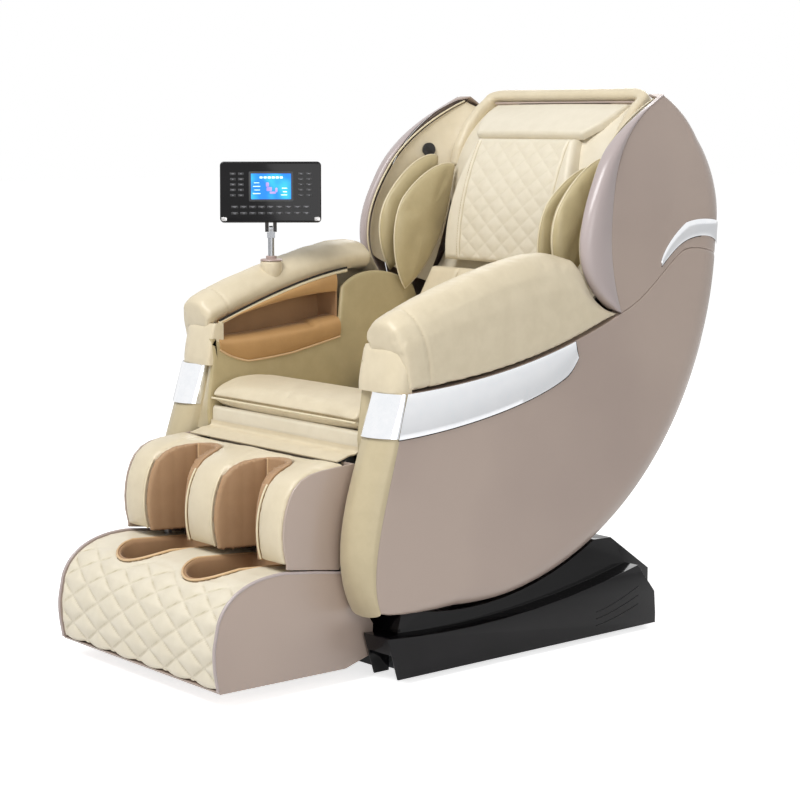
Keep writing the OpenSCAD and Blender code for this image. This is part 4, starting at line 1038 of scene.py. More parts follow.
@dataclass(frozen=True)
class CapsuleLines:
    """The curves that neighbouring capsule pieces share, as (y, z) points in millimetres."""

    rock: Pair = (-65.0, 874.0)
    back_r: float = 740.0
    head: Pair = (333.0, 874.0)
    head_r: float = 342.0
    corner: float = 90.0
    belly: float = 42.0
    wall: float = 4.0
    side_x: float = 382.1
    lean: float = 50.0
    rear: float = -4.6
    arm_front: Pair = (-278.0, 588.0)
    tip: Pair = (-345.0, 158.0)
    v_tip: Pair = (323.0, 711.0)
    fit: float = 0.3

    @property
    def rim_x(self) -> float:
        """Where the sides' rounding ends and the back cover begins."""
        return self.side_x - self.corner

    @property
    def wing_top(self) -> Pair:
        """The front end of a head side's top."""
        return on_arc(self.head, self.head_r, 62)

    @property
    def seam_arm(self) -> list[Pair]:
        """The seam between side shell and arm pad."""
        return [self.v_tip, (120, 625), (-80, 595), self.arm_front]

    @property
    def seam_low(self) -> list[Pair]:
        """The lower part of the seam between side shell and head side."""
        return [self.v_tip, (410, 742), (450, 800), (512, 836)]

    @property
    def seam_high(self) -> list[Pair]:
        """The upper part of the seam between side shell and head side."""
        return [(512, 836), (545, 850), (610, 836), on_arc(self.rock, self.back_r, self.rear)]

    @property
    def panel_front(self) -> list[Pair]:
        """The side shell's front edge."""
        return [self.arm_front, (-300, 440), (-390, 260), self.tip]

    @property
    def nose_front(self) -> list[Pair]:
        """The front of the padded trim."""
        return [(-303, 588), (-352, 440), (-448, 280), (-350, 144)]

    @property
    def wing_edge(self) -> tuple[list[Pair], list[Pair]]:
        """The head side's front edge, its upper and its lower part."""
        return [self.wing_top, (400, 1130), (340, 1080), (310, 1000)], [(310, 1000), (285, 930), (275, 830), self.v_tip]

    @property
    def rim_edge(self) -> tuple[list[Pair], list[Pair]]:
        """The front of the head side's rolled lip, its upper and its lower part."""
        top, low = self.wing_top, self.v_tip
        upper = [(top[0] - 12, top[1] - 9), (400, 1135), (310, 1080), (268, 1007)]
        return upper, [(268, 1007), (205, 900), (178, 800), (low[0] - 23, low[1] + 11)]

    def wing_x(self, z: float) -> float:
        """The head side's outer face at a height."""
        return self.side_x - self.lean * (max(0.0, z - 900) / 290) ** 1.7

    def rounding(self, z: float) -> float:
        """The radius of the rounded rear corner at a height, which runs out towards the top."""
        r = mix(self.corner, 26, min(1.0, max(0.0, z - self.rock[1]) / 300))
        return mix(r, 8, min(1.0, max(0.0, z - 1090) / 86))

    def corner_in(self, q: Pair) -> float:
        """How far the rounded rear corner lies inside the flat side at a place."""
        if q[0] <= 400:
            return 0.0
        depth = self.head_r - math.dist(q, self.head) if q[1] > self.rock[1] else self.back_r - math.dist(q, self.rock)
        r = self.rounding(q[1])
        m = max(0.0, r - max(0.0, depth))
        return r - math.sqrt(max(0.0, r * r - m * m))


LINES = CapsuleLines()


@dataclass
class Shells:
    """The lacquered mouldings of the capsule: sides, head sides, their rolled lips, back cover and bright trim."""

    lines: CapsuleLines = LINES
    seam_r: float = 3.0
    strip_h: float = 89.0
    cover_wall: float = 4.0
    vent_pitch: float = 17.0
    vent_rows: int = 9
    screw_x: float = 268.0
    screw_angles: tuple[float, ...] = (-52, -38, -24, -10)
    accent_low: tuple[Pair, ...] = ((445, 806), (482, 840), (510, 866), (570, 868))

    def moulding(self, name: str, side: Side, outline: Sequence[tuple], face_x: Callable[[float], float]) -> Item:
        """Makes a moulding with rounded edges, open on its inner side.

        Args:
            name: The piece's name.
            side: The side that it is on.
            outline: Points (y, z, rounding, depth); a rounding under 0 marks a seam.
            face_x: Gives the outer face's X at a height.

        Returns:
            The moulding.
        """
        shape, wall = self.lines, self.lines.wall
        p = [(q[0], q[1]) for q in outline]
        n = [self.arc_normal(q) or d for q, d in zip(outline, inward(p))]
        goals = self.corner_goals(outline, p, n)
        c = (sum(q[0] for q in p) / len(p), sum(q[1] for q in p) / len(p))

        def ring(angle: float, w: float) -> Ring:
            out = []
            for q0, d, o, goal in zip(p, n, outline, goals):
                seam = o[2] < 0
                r = self.seam_r if seam else max(o[2] - w, 0.5)
                k = w + r * (1 - cos(radians(angle)))
                q = (q0[0] + d[0] * k, q0[1] + d[1] * k)
                if goal:
                    q = mix_points(q, goal, 1 - cos(radians(angle)))
                x = face_x(q[1]) - w - r * (1 - sin(radians(angle))) - (shape.corner_in(q) if seam else 0)
                out.append((side.value * max(shape.rim_x, x), q[0], q[1]))
            return out

        def face(share: float, w: float) -> Ring:
            out = []
            for _, y0, z0 in ring(90, w):
                y, z = mix(c[0], y0, share), mix(c[1], z0, share)
                out.append((side.value * (face_x(z) - w - shape.corner_in((y, z))), y, z))
            return out

        def rim(w: float) -> Ring:
            out = []
            for q0, d, o in zip(p, n, outline):
                q = (q0[0] + d[0] * w, q0[1] + d[1] * w)
                x = face_x(q[1]) - o[3] - (shape.corner_in(q) if o[2] < 0 else 0)
                out.append((side.value * max(shape.rim_x, x), q[0], q[1]))
            return out

        shares = (0.02, 0.3, 0.55, 0.75, 0.9, 0.98)
        angles = [90 * k / 8 for k in range(9)]
        rings = [face(s, 0) for s in shares] + [ring(a, 0) for a in angles[::-1]] + [rim(0)]
        rings += [rim(wall)] + [ring(a, wall) for a in angles] + [face(s, wall) for s in (0.9, 0.02)]
        return loft(name, rings, sharp=38)

    def arc_normal(self, q: tuple) -> Pair | None:
        """The inward normal of a point on the round back, or None for a point elsewhere."""
        shape = self.lines
        if q[2] < 4 or q[0] < 400:
            return None
        centre = shape.rock if q[1] < shape.rock[1] - 30 else shape.head
        size = math.dist(centre, q[:2])
        return (centre[0] - q[0]) / size, (centre[1] - q[1]) / size

    def corner_goals(self, outline: Sequence[tuple], p: Sequence[Pair], n: Sequence[Pair]) -> list[Pair | None]:
        """Where the seam points at the rear corner end up at the inner edge of its rounding."""
        end = next(
            i for i, o in enumerate(outline)
            if o[2] > 20 and o[0] > 600 and -1 in (outline[i - 1][2], outline[i + 1][2])
        )
        turned = (p[end][0] + n[end][0] * outline[end][2], p[end][1] + n[end][1] * outline[end][2])
        seam = sorted((q for q, o in zip(p, outline) if o[2] < 0), key=lambda q: q[0])
        near = (turned[0], float(np.interp(turned[0], [q[0] for q in seam], [q[1] for q in seam])))
        near = mix_points(near, turned, 0.15)
        reach = p[end][0] - turned[0]
        return [
            mix_points(turned, near, min(1.0, (p[end][0] - q[0]) / reach)) if o[2] < 0 and q[0] > turned[0] else None
            for q, o in zip(p, outline)
        ]

    def side_outline(self) -> list[tuple]:
        """The side shell's outline."""
        shape = self.lines
        low_end = on_arc(shape.rock, shape.back_r, -95)
        low = bez([shape.tip, (-320, 146), (-230, shape.rock[1] - shape.back_r + 3), low_end], 12)
        out = [(*p, 3.0, 50.0) for p in bez(shape.panel_front, 30)]
        out += [(*p, mix(6, shape.belly, (p[0] + 345) / 215), 60.0) for p in low[1:]]
        out += [
            (*p, mix(shape.belly, shape.corner, max(0.0, p[0]) / 640), shape.corner)
            for p in arc(shape.rock, shape.back_r, -95, -20, 64)[1:]
        ]
        out += [(*p, shape.corner, shape.corner) for p in arc(shape.rock, shape.back_r, -20, shape.rear, 12)[1:]]
        out += [(*p, -1.0, 30.0) for p in bez(shape.seam_high, 14)[::-1][1:]]
        out += [(*p, -1.0, 30.0) for p in bez(shape.seam_low, 14)[::-1][1:]]
        return out + [(*bez_at(shape.seam_arm, i / 32), -1.0, 30.0) for i in range(1, 32)]

    def wing_outline(self) -> list[tuple]:
        """A head side's outline."""
        shape, fit = self.lines, self.lines.fit
        high, low = shape.wing_edge
        out = [(p[0], p[1] + fit, -1.0, 30.0) for p in chain(bez(shape.seam_low, 14), bez(shape.seam_high, 14))]
        out += [
            (*p, shape.rounding(p[1]), shape.wing_x(p[1]) - shape.rim_x)
            for p in arc(shape.head, shape.head_r, -4, 62, 48)
        ]
        out += [(*p, 2.0, 8.0) for p in bez(high, 20)[1:]]
        return out + [(*bez_at(low, i / 20), 2.0, 8.0) for i in range(1, 20)]

    def rolled_lip(self, side: Side) -> Item:
        """The rolled front lip of a head side."""
        shape = self.lines
        edge = [(p[0] - shape.fit, p[1]) for p in chain(*(bez(q, 28) for q in shape.wing_edge))]
        lip = chain(*(bez(q, 28) for q in shape.rim_edge))
        section = smooth_ring(
            [(0, 0), (-5, 0.3), (-5.5, 0.6), (0, 0.88), (12, 1), (24, 0.97), (26, 0.75), (12, 0.55), (7, 0.25)], 3
        )
        rings: list[Ring] = []
        for e, tip in zip(edge, lip):
            w = min(1.0, math.dist(e, tip) / 30)
            rings.append([(side.value * (shape.wing_x(e[1]) - s[0] * w), *mix_points(e, tip, s[1])) for s in section])
        return loft(f"head_rim_{side.word}", rings, sharp=70)

    def accent(self, side: Side) -> Item:
        """The bright blade that follows the seam of a head side round to the back."""
        shape = self.lines
        low = chain(bez(self.accent_low, 20), bez([(570, 868), (600, 868), (625, 858), (644, 846)], 14))
        high = chain(
            bez([(443, 812), (440, 826), (470, 868), (520, 898)], 20),
            bez([(520, 898), (560, 908), (600, 906), (642, 896)], 14),
        )
        bulge = (
            (0, 0), (0.5, 0.4), (1, 0), (1, 1.6), (0.9, 2.4), (0.7, 2.6), (0.5, 2.5), (0.3, 2.3), (0.12, 2.2), (0, 1.4),
        )
        rings: list[Ring] = []
        for a, b in zip(low, high):
            ring = []
            for v, k in bulge:
                q = mix_points(a, b, v)
                off = shape.fit + 1.2 * min(1.0, max(0.0, (q[0] - 564) / 36)) + k
                ring.append((side.value * (shape.wing_x(q[1]) - shape.corner_in(q) + off), *q))
            rings.append(ring)
        return loft(f"head_accent_{side.word}", rings, sharp=28)

    def strip(self, side: Side) -> Item:
        """The bright strip along a side."""
        shape = self.lines
        base = shape.side_x + shape.fit
        hollow = [(v, 2.3 - 1.1 * sin(pi * v)) for v in (0.12, 0.25, 0.4, 0.55, 0.7, 0.85, 0.93)]
        profile = [(0, 0), (0, 1.5), (0.02, 2.3), *hollow, (0.98, 2.4), (1, 1.5), (1, 0)]
        rings = [
            [(side.value * (base + k), *mix_points(low, top, v)) for v, k in profile]
            for low, top in zip(*self.strip_edges())
        ]
        return loft(f"side_strip_{side.word}", rings, sharp=30)

    def strip_edges(self) -> tuple[list[Pair], list[Pair]]:
        """The lower and the upper edge of the bright strip, with the lower one lifted at its rear corner."""
        shape, h = self.lines, self.strip_h
        upper = [bez_at(shape.seam_arm[::-1], i * 0.77 / 40) for i in range(41)]
        upper = [(y, z - shape.fit) for y, z in upper]
        lower = bez([(-301, 588 - h), (-150, 592 - h), (100, 628 - h), (197, 698 - h)], 40)
        lifted = [mix_points(a, b, 0.3 * max(0.0, (i - 35) / 5) ** 2) for i, (a, b) in enumerate(zip(lower, upper))]
        return lifted, upper

    def joints(self, side: Side) -> None:
        """Painted shadow lines: dark tubes below the bright strip and round the accent."""
        shape = self.lines
        lower, upper = self.strip_edges()
        x = side.value * (shape.side_x + 0.9)
        (y0, z0), (y1, z1) = lower[-1], upper[-1]
        edge = [(x, y, z - 0.9) for y, z in lower]
        edge += [(x, mix(y0, y1, v) + 0.9, mix(z0, z1, v)) for v in (0.1, 0.4, 0.7, 1)]
        dress(tube(f"strip_joint_{side.word}", edge, 1.3), PAINTED_SHADOW, "capsule")
        low = bez(self.accent_low, 24)
        line = [(side.value * (shape.wing_x(z) - shape.corner_in((y, z)) + 0.6), y, z - 1) for y, z in low]
        dress(tube(f"accent_joint_{side.word}", line, 1.2), PAINTED_SHADOW, "capsule")

    def strip_return(self, side: Side) -> Item:
        """The part of the bright strip that goes round the padded trim."""
        shape = self.lines
        section = smooth_line(
            [(-93, 0.84), (-88, 0.4), (-74, 0.06), (-52, -0.06), (-36, 0.02), (-16, 0.28), (-3, 0.62), (2, 0.9)], 4
        )
        rings: list[Ring] = []
        for i in range(13):
            t = 0.19 * i / 12
            f, r = bez_at(shape.nose_front, t), bez_at(shape.panel_front, t)
            gap = math.dist(f, r)
            n = ((r[0] - f[0]) / gap, (r[1] - f[1]) / gap)
            near = sin(pi * i / 12) * 0.8

            def at(s: tuple, k: float) -> Triple:
                q = mix_points(f, r, s[1])
                return side.value * (shape.side_x + s[0]), q[0] - n[0] * k, q[1] - n[1] * k

            rings.append([at(s, 1.6) for s in section] + [at(s, 3.4 + near) for s in section[::-1]])
        return loft(f"trim_strip_{side.word}", rings, sharp=40)

    def back_cover(self) -> Item:
        """The curved cover behind the back, with a pressed joint across it."""
        shape, w = self.lines, self.cover_wall

        def skin(depth: float) -> list[Pair]:
            return chain(
                arc(shape.rock, shape.back_r - depth, -60, -3, 90), arc(shape.head, shape.head_r - depth, 0, 53, 60)
            )

        outer, inner = skin(0), skin(w)
        turns = np.array([math.degrees(math.atan2(q[1] - shape.rock[1], q[0] - shape.rock[0])) for q in outer])
        press = [1.4 * math.exp(-((a / 0.28) ** 2)) for a in abs(turns + 18)]
        outer = [mix_points(a, b, d / w) for a, b, d in zip(outer, inner, press)]
        end = shape.rim_x
        rings = []
        for x in (-end, -end + 1, *np.linspace(-end + 4, end - 4, 20), end - 1, end):
            edge = 1.2 * max(0.0, 1 - (end - abs(x)) / 1.2)
            front = [(x, *mix_points(a, b, edge / w)) for a, b in zip(outer, inner)]
            rings.append(front + [(x, *q) for q in inner[::-1]])
        return loft("rear_cover", rings, sharp=38)

    def cover_lip(self) -> Item:
        """The lip of the cover below the top of the head frame."""
        shape = self.lines
        outer, inner = (arc(shape.head, shape.head_r - w, 50, 57, 16) for w in (-0.7, 3))
        outline = outer + inner[::-1]
        return loft("cover_lip", [[(x, *q) for q in outline] for x in np.linspace(-232, 232, 9)], sharp=40)

    def fixings(self) -> None:
        """Cover screws with their sockets, and air vents, on the back; the sockets and vents are dark dots of painted
        shadow.
        """
        shape = self.lines

        def on_back(x: float, angle: float, out: float) -> tuple[Triple, Triple]:
            q = on_arc(shape.rock, shape.back_r + out, angle)
            a = radians(angle)
            return (x, *q), (0.0, cos(a), sin(a))

        spots = [(x, a) for x in (-self.screw_x, self.screw_x) for a in self.screw_angles]
        for name, out, row, finish in (
            ("cover_screws", 0.4, DotRow(5.0, 1.6, 18), MATT_BLACK),
            ("screw_sockets", 0.3, DotRow(2.1, 2.2, 6), PAINTED_SHADOW),
        ):
            row.set_out(name, [on_back(x, a, out) for x, a in spots], "capsule", finish)
        vents = [
            on_back((j - 7 + 0.5 * (i % 2)) * self.vent_pitch, -30.5 + i * 1.15, 0.1)
            for i in range(self.vent_rows) for j in range(15)
        ]
        DotRow(5.2, 0.7, 12).set_out("vent_holes", vents, "capsule", PAINTED_SHADOW)

    def build(self) -> None:
        """Builds and dresses the mouldings."""
        shape = self.lines
        for side in Side:
            dress(
                self.moulding(f"side_panel_{side.word}", side, self.side_outline(), lambda z: shape.side_x),
                SHELL, "capsule", f"side_shell_{side.word}",
            )
            dress(
                self.moulding(f"head_side_{side.word}", side, self.wing_outline(), shape.wing_x),
                SHELL, "capsule", f"wing_{side.word}",
            )
            dress(self.rolled_lip(side), RIM, "capsule", f"wing_rim_{side.word}")
            dress(self.accent(side), CHROME, "capsule", "wing_chromes")
            dress(self.strip(side), CHROME, "capsule", "chrome_strips")
            dress(self.strip_return(side), CHROME, "capsule", "chrome_strips")
            self.joints(side)
        dress(self.back_cover(), SHELL, "capsule", "back_cover")
        dress(self.cover_lip(), SHELL, "capsule", "back_cover")
        self.fixings()


@dataclass
class Arms:
    """Arm pads, the tan bags in the arm slots, the inner panels and the padded front trims."""

    lines: CapsuleLines = LINES
    inner_x: float = 258.0
    panel_t: float = 8.0
    slot_rear: float = 62.0
    front_seam: float = -236.0
    bag_front: float = -276.0
    floor_steps: int = 44

    def slot_floor(self, steps: int = 30) -> list[Pair]:
        """The middle of the slot's floor, from the front to the rear."""
        return bez([(-296, 652), (-240, 628), (-100, 646), (self.slot_rear, 668)], steps)

    def roof(self, y: float) -> float:
        """The height of the arm pad's inner lower edge."""
        line = chain(
            bez([(-316, 692), (-180, 745), (0, 812), (150, 815)], 20),
            bez([(150, 815), (220, 812), (280, 770), (330, 706)], 12),
        )
        return float(np.interp(y, [p[0] for p in line], [p[1] for p in line])) - 32

    def pad(self, side: Side) -> None:
        """The arm pad: leather over foam, with a seam round its front end."""
        obj = soft_copy(f"arm_pad_{side.word}", f"arm_cushion_{side.word}", 5, 10, 2.2)
        obj = puffed(obj, 3.5, 3.0, 12)
        moved(obj, lambda p, n: groove(p[:, 1] - self.seam_y(p), 2.6, 3.2) * (p[:, 2] > 560))
        dress(obj, CREAM, "capsule", f"arm_pad_{side.word}", pad=0.75)

    def seam_y(self, p: np.ndarray) -> np.ndarray:
        """Where the seam near the front of an arm pad runs at points of it."""
        return self.front_seam - 0.30 * (p[:, 2] - 700) - 0.0012 * (p[:, 2] - 700) ** 2

    def drop(self, t: float) -> float:
        """How far the lower bag hangs over the inner panel at a share t of the slot's length."""
        return mix(6.0, 50.0, min(1.0, t * 2.6) ** 0.7) * mix(1.0, 0.8, max(0.0, t - 0.7) / 0.3)

    def lower_bag(self, side: Side) -> Item:
        """The tan bag on the slot's floor, draped over the inner panel."""
        rings: list[Ring] = []
        for i, (y, z) in enumerate(self.slot_floor(self.floor_steps)):
            if y < self.bag_front:
                continue
            t = i / self.floor_steps
            full = sin(pi * min(1.0, t * 1.15 + 0.03)) ** 0.35 if t < 0.85 else 1.0
            drop = self.drop(t)
            rise = 7.0 * full
            section = smooth_line(
                [
                    (337, z + 1), (318, z + rise), (296, z + rise + 2), (276, z + rise + 1), (262, z + rise - 5),
                    (254.5, z - 7), (252.5, z - 0.5 * drop), (254.5, z - 0.85 * drop), (258.6, z - drop),
                ],
                3,
            )
            back_side = [(262, z - drop + 2), (263, z - 0.5 * drop), (266, z - 5), (337, z - 3)]
            rings.append([(side.value * x, y, h) for x, h in section + back_side])
        return loft(f"slot_bag_{side.word}", rings, sharp=60)

    def upper_bag(self, side: Side) -> Item:
        """The tan bag under the arm pad, which widens to the rear."""
        rings: list[Ring] = []
        for i in range(41):
            t = i / 40
            y = mix(-262, 58, t)
            top = self.roof(y) + 1
            deep = mix(3.0, 44.0, t**1.2)
            low = top - deep
            section = smooth_line(
                [
                    (268, top), (262.5, top - 0.2 * deep), (260, top - 0.5 * deep), (262.5, low + 2), (270, low),
                    (286, low + 3),
                ],
                3,
            )
            rings.append([(side.value * x, y, h) for x, h in section + [(286, top)]])
        return loft(f"arm_bag_{side.word}", rings, sharp=60)

    def slot_wall(self, side: Side) -> Item:
        """The brown outer wall inside the arm slot."""
        floor = [p for p in self.slot_floor(30) if p[0] > self.bag_front]
        roof = [(y, max(z + 3, self.roof(y - 14) - 11)) for y, z in floor[::-1]]
        outline = [(y, z - 4) for y, z in floor] + roof
        return plate(f"slot_wall_{side.word}", outline, [(side.value * x, 0) for x in (335.4, 336.6, 339.6)], sharp=50)

    def slot_end(self, side: Side) -> Item:
        """The brown rear end of the arm slot."""
        y, outline = self.slot_rear, [(267, 664), (338, 664), (338, 748), (267, 752)]
        return loft(f"slot_end_{side.word}", [[(side.value * x, y - k, z) for x, z in outline] for k in (0.2, 2, 3.8)])

    def front_closer(self, side: Side) -> Item:
        """The padded front of the arm, from the trim's top up to the underside of the pad."""
        levels = (
            (258.8, 6), (260, 2.5), (264, 0.8), (275, 0), (300, 0), (330, 0), (346, 1.5), (358, 5), (366, 10),
            (372, 16), (376, 22), (377.5, 28),
        )
        section = smooth_line(
            [(-304, 588), (-304, 602), (-302, 617), (-299, 633), (-295, 650), (-291, 668), (-286, 678)], 3
        )
        rings = [
            [(side.value * x, y + back, z) for y, z in section]
            + [(side.value * x, -262, 678), (side.value * x, -262, 588)]
            for x, back in levels
        ]
        return loft(f"arm_front_{side.word}", rings, sharp=60)

    def front_web(self, side: Side) -> Item:
        """The leather between the inner panel's front edge and the trim's inner edge."""
        front, rear = bez(self.lines.nose_front, 40)[::-1], bez(self.lines.panel_front, 40)[::-1]
        rings: list[Ring] = []
        for z in np.linspace(449.5, 592, 14):
            inner = float(np.interp(z, [449, 489, 540, 600], [-303, -306, -300, -292]))
            ends = [float(np.interp(z, [p[1] for p in q], [p[0] for p in q])) for q in (front, rear)]
            outer = mix(*ends, 0.9) - 0.5
            face = [(259.5, inner + 1), (266, inner - 0.8), (277, mix(inner, outer, 0.5) - 1.2), (288.5, outer)]
            rings.append([(side.value * x, y, z) for x, y in face + [(x, y + 6) for x, y in face[::-1]]])
        return loft(f"arm_web_{side.word}", rings, sharp=60)

    def panel(self, side: Side) -> Item:
        """The inner arm panel with its seam."""
        x0 = self.inner_x
        outline = chain(
            resampled([(-303, 449), (100, 449), (180, 500), (262, 600), (300, 700)], 50),
            bez([(70, 740), (120, 792), (230, 780), (285, 735)], 14)[::-1],
            [(p[0], p[1] - 6) for p in self.slot_floor(30)[::-1]],
            resampled([(-292, 600), (-300, 540), (-306, 489), (-303, 449)], 8)[:-1],
        )
        levels = [(x0 + self.panel_t, 0), (x0 + 3, 0), (x0 + 0.8, 1.4), (x0 - 0.6, 5), (x0 - 1, 12)]
        return plate(f"inner_panel_{side.word}", outline, [(side.value * x, d) for x, d in levels], sharp=50)

    def trim(self, side: Side) -> Item:
        """The padded nose between the side shell's front edge and the inside of the arm."""
        shape = self.lines
        front, rear = bez(shape.nose_front, 40), [(p[0] - shape.fit, p[1]) for p in bez(shape.panel_front, 40)]
        section = smooth_line(
            [(-94, 0.9), (-88, 0.45), (-74, 0.12), (-52, 0), (-36, 0.08), (-16, 0.35), (-3, 0.7), (0, 0.92)], 4
        )
        rings = [
            [(side.value * (shape.side_x + s[0]), *mix_points(f, r, max(0.0, s[1]))) for f, r in zip(front, rear)]
            + [(side.value * (shape.side_x + s[0]), *q) for q in rear[::-1]]
            for s in section
        ]
        return loft(f"front_trim_{side.word}", rings, sharp=50)

    def build(self) -> None:
        """Builds and dresses the arms."""
        for side in Side:
            self.pad(side)
            dress(self.lower_bag(side), TAN, "capsule", "arm_linings", pad=0.5)
            dress(self.upper_bag(side), TAN, "capsule", "arm_linings", pad=0.5)
            dress(self.slot_wall(side), CALF_TAN, "capsule", "arm_linings", pad=0.3)
            dress(self.slot_end(side), CALF_TAN, "capsule", "arm_linings", pad=0.3)
            dress(self.front_closer(side), CREAM, "capsule", pad=0.6)
            dress(self.front_web(side), SHADED_TRIM, "capsule", pad=0.4)
            dress(self.panel(side), SHADED_LEATHER, "capsule", "inner_panels", pad=0.4)
            dress(self.trim(side), SHADED_TRIM, "capsule", f"shell_trim_{side.word}", pad=0.7)
            s, floor = side.value, self.slot_floor(self.floor_steps)
            edge = [
                (s * 256.5, y, z - self.drop(i / self.floor_steps))
                for i, (y, z) in enumerate(floor) if y > self.bag_front
            ]
            dress(tube(f"bag_piping_{side.word}", edge, 2.4), TAN_PIPING, "capsule")
            line = [(s * 267, y, self.roof(y) - 1) for y in np.linspace(-268, 90, 40)]
            dress(tube(f"arm_lip_{side.word}", line, 4.2), PIPING, "capsule")
            line = [(s * 265.5, y, z + 6.5) for _, y, z in line]
            dress(tube(f"arm_shadow_{side.word}", line, 2.2), PAINTED_SHADOW, "capsule")


@dataclass
class Back:
    """The quilted back pad, lumbar pad and head pad, with their seams."""

    quilt_across: float = 56.0
    quilt_up: float = 44.0
    panel_half: float = 140.0
    quilt_height: float = 2.3
    surround_half: float = 279.0
    carriage_half: float = 150.0

    def diamonds(self, x: np.ndarray, s: np.ndarray) -> np.ndarray:
        """The back pad's relief: diamonds between two side seams, and plain flaps outside them."""
        inside = 1 / (1 + np.exp((np.abs(x) - self.panel_half) / 2.0))
        raised = quilt(x, s * self.quilt_across / self.quilt_up, self.quilt_across, self.quilt_height)
        seams = groove(np.abs(x) - self.panel_half - 4, 6.0, 3.4) + groove(np.abs(x) - self.panel_half - 14, 1.2, 2.0)
        return raised * inside + 2.0 * (1 - inside) + seams

    def reach(self, z: float) -> float:
        """The share of the surround's full width at a height: lower down it stays between the inner panels."""
        return mix(256 / self.surround_half, 1.0, min(1.0, max(0.0, z - 690) / 70))

    def surround(self) -> Item:
        """The leather beside and above the pads; behind the head pad it stops, to leave room for the carriage."""
        line = smooth_line(
            [
                (190, 560), (240, 610), (290, 668), (328, 718), (352, 758), (372, 800), (382, 850), (386, 905),
                (384, 950), (388, 990), (402, 1035), (424, 1075), (455, 1110), (490, 1138), (524, 1158),
            ],
            4,
        )
        rings: list[Ring] = []
        for x in np.linspace(-self.surround_half, self.surround_half, 40):
            sink = 36 * (abs(x) / self.surround_half) ** 6
            upto = 1e4 if abs(x) > self.carriage_half else 1072.0
            last = [p for p in line if p[1] <= upto][-1]
            front = [
                (x * self.reach(z), y + sink * min(1.0, max(0.0, (z - 700) / 150)), z)
                for y, z in (q if q[1] <= upto else last for q in line)
            ]
            rings.append(front + [(a, y + 4, z - 1) for a, y, z in front[::-1]])
        return loft("back_surround", rings, sharp=70)

    def build(self) -> None:
        """Builds and dresses the pads of the back."""
        face = bez([(326, 796), (320, 900), (352, 1000), (398, 1082)], 40)
        back = pad_sheet("back_cushion", face, [mix(200, 160, (i / 8) ** 2) for i in range(9)], 40, self.diamonds, 2.5)
        dress(back, PALE, "capsule", "back_pad", pad=0.7)
        low = bez([(128, 538), (190, 596), (262, 660), (298, 786)], 40)
        run = sum(math.dist(a, b) for a, b in zip(low, low[1:]))

        def lumbar(x: np.ndarray, s: np.ndarray) -> np.ndarray:
            """Crown, a seam across and two seams down."""
            crown = 5 * (1 - (x / 250) ** 2) * np.sin(np.pi * s / run)
            return crown + groove(s - 0.62 * run, 5, 4) + groove(np.abs(x) - 150 + 0.12 * s, 5, 4)

        halves = [244 - 30 * (i / 7) ** 3 for i in range(8)]
        dress(pad_sheet("lumbar_cushion", low, halves, 40, lumbar, 4, 18), CREAM, "capsule", "lumbar_pad", pad=0.7)

        def brow(x: np.ndarray, s: np.ndarray) -> np.ndarray:
            """A soft crown."""
            return 3 * (1 - (x / 214) ** 2)

        line = smooth_line([(404, 1090), (432, 1110), (470, 1134), (512, 1156)], 8)
        head = pad_sheet("head_cushion", line, [172, 200, 212, 214], 18, brow, 3.5, 5)
        dress(head, PALE, "capsule", "head_pad", pad=0.7)
        dress(self.surround(), PALE, "capsule", pad=0.4)
        seam_x = self.panel_half + 9
        seams = [[(x, p[0] - 1.8, p[1] + 0.4) for p in face[1:-2]] for x in (-seam_x, seam_x)]
        StitchRow(6.0, 4.0, 0.6).sew("back_stitches", seams, "capsule")


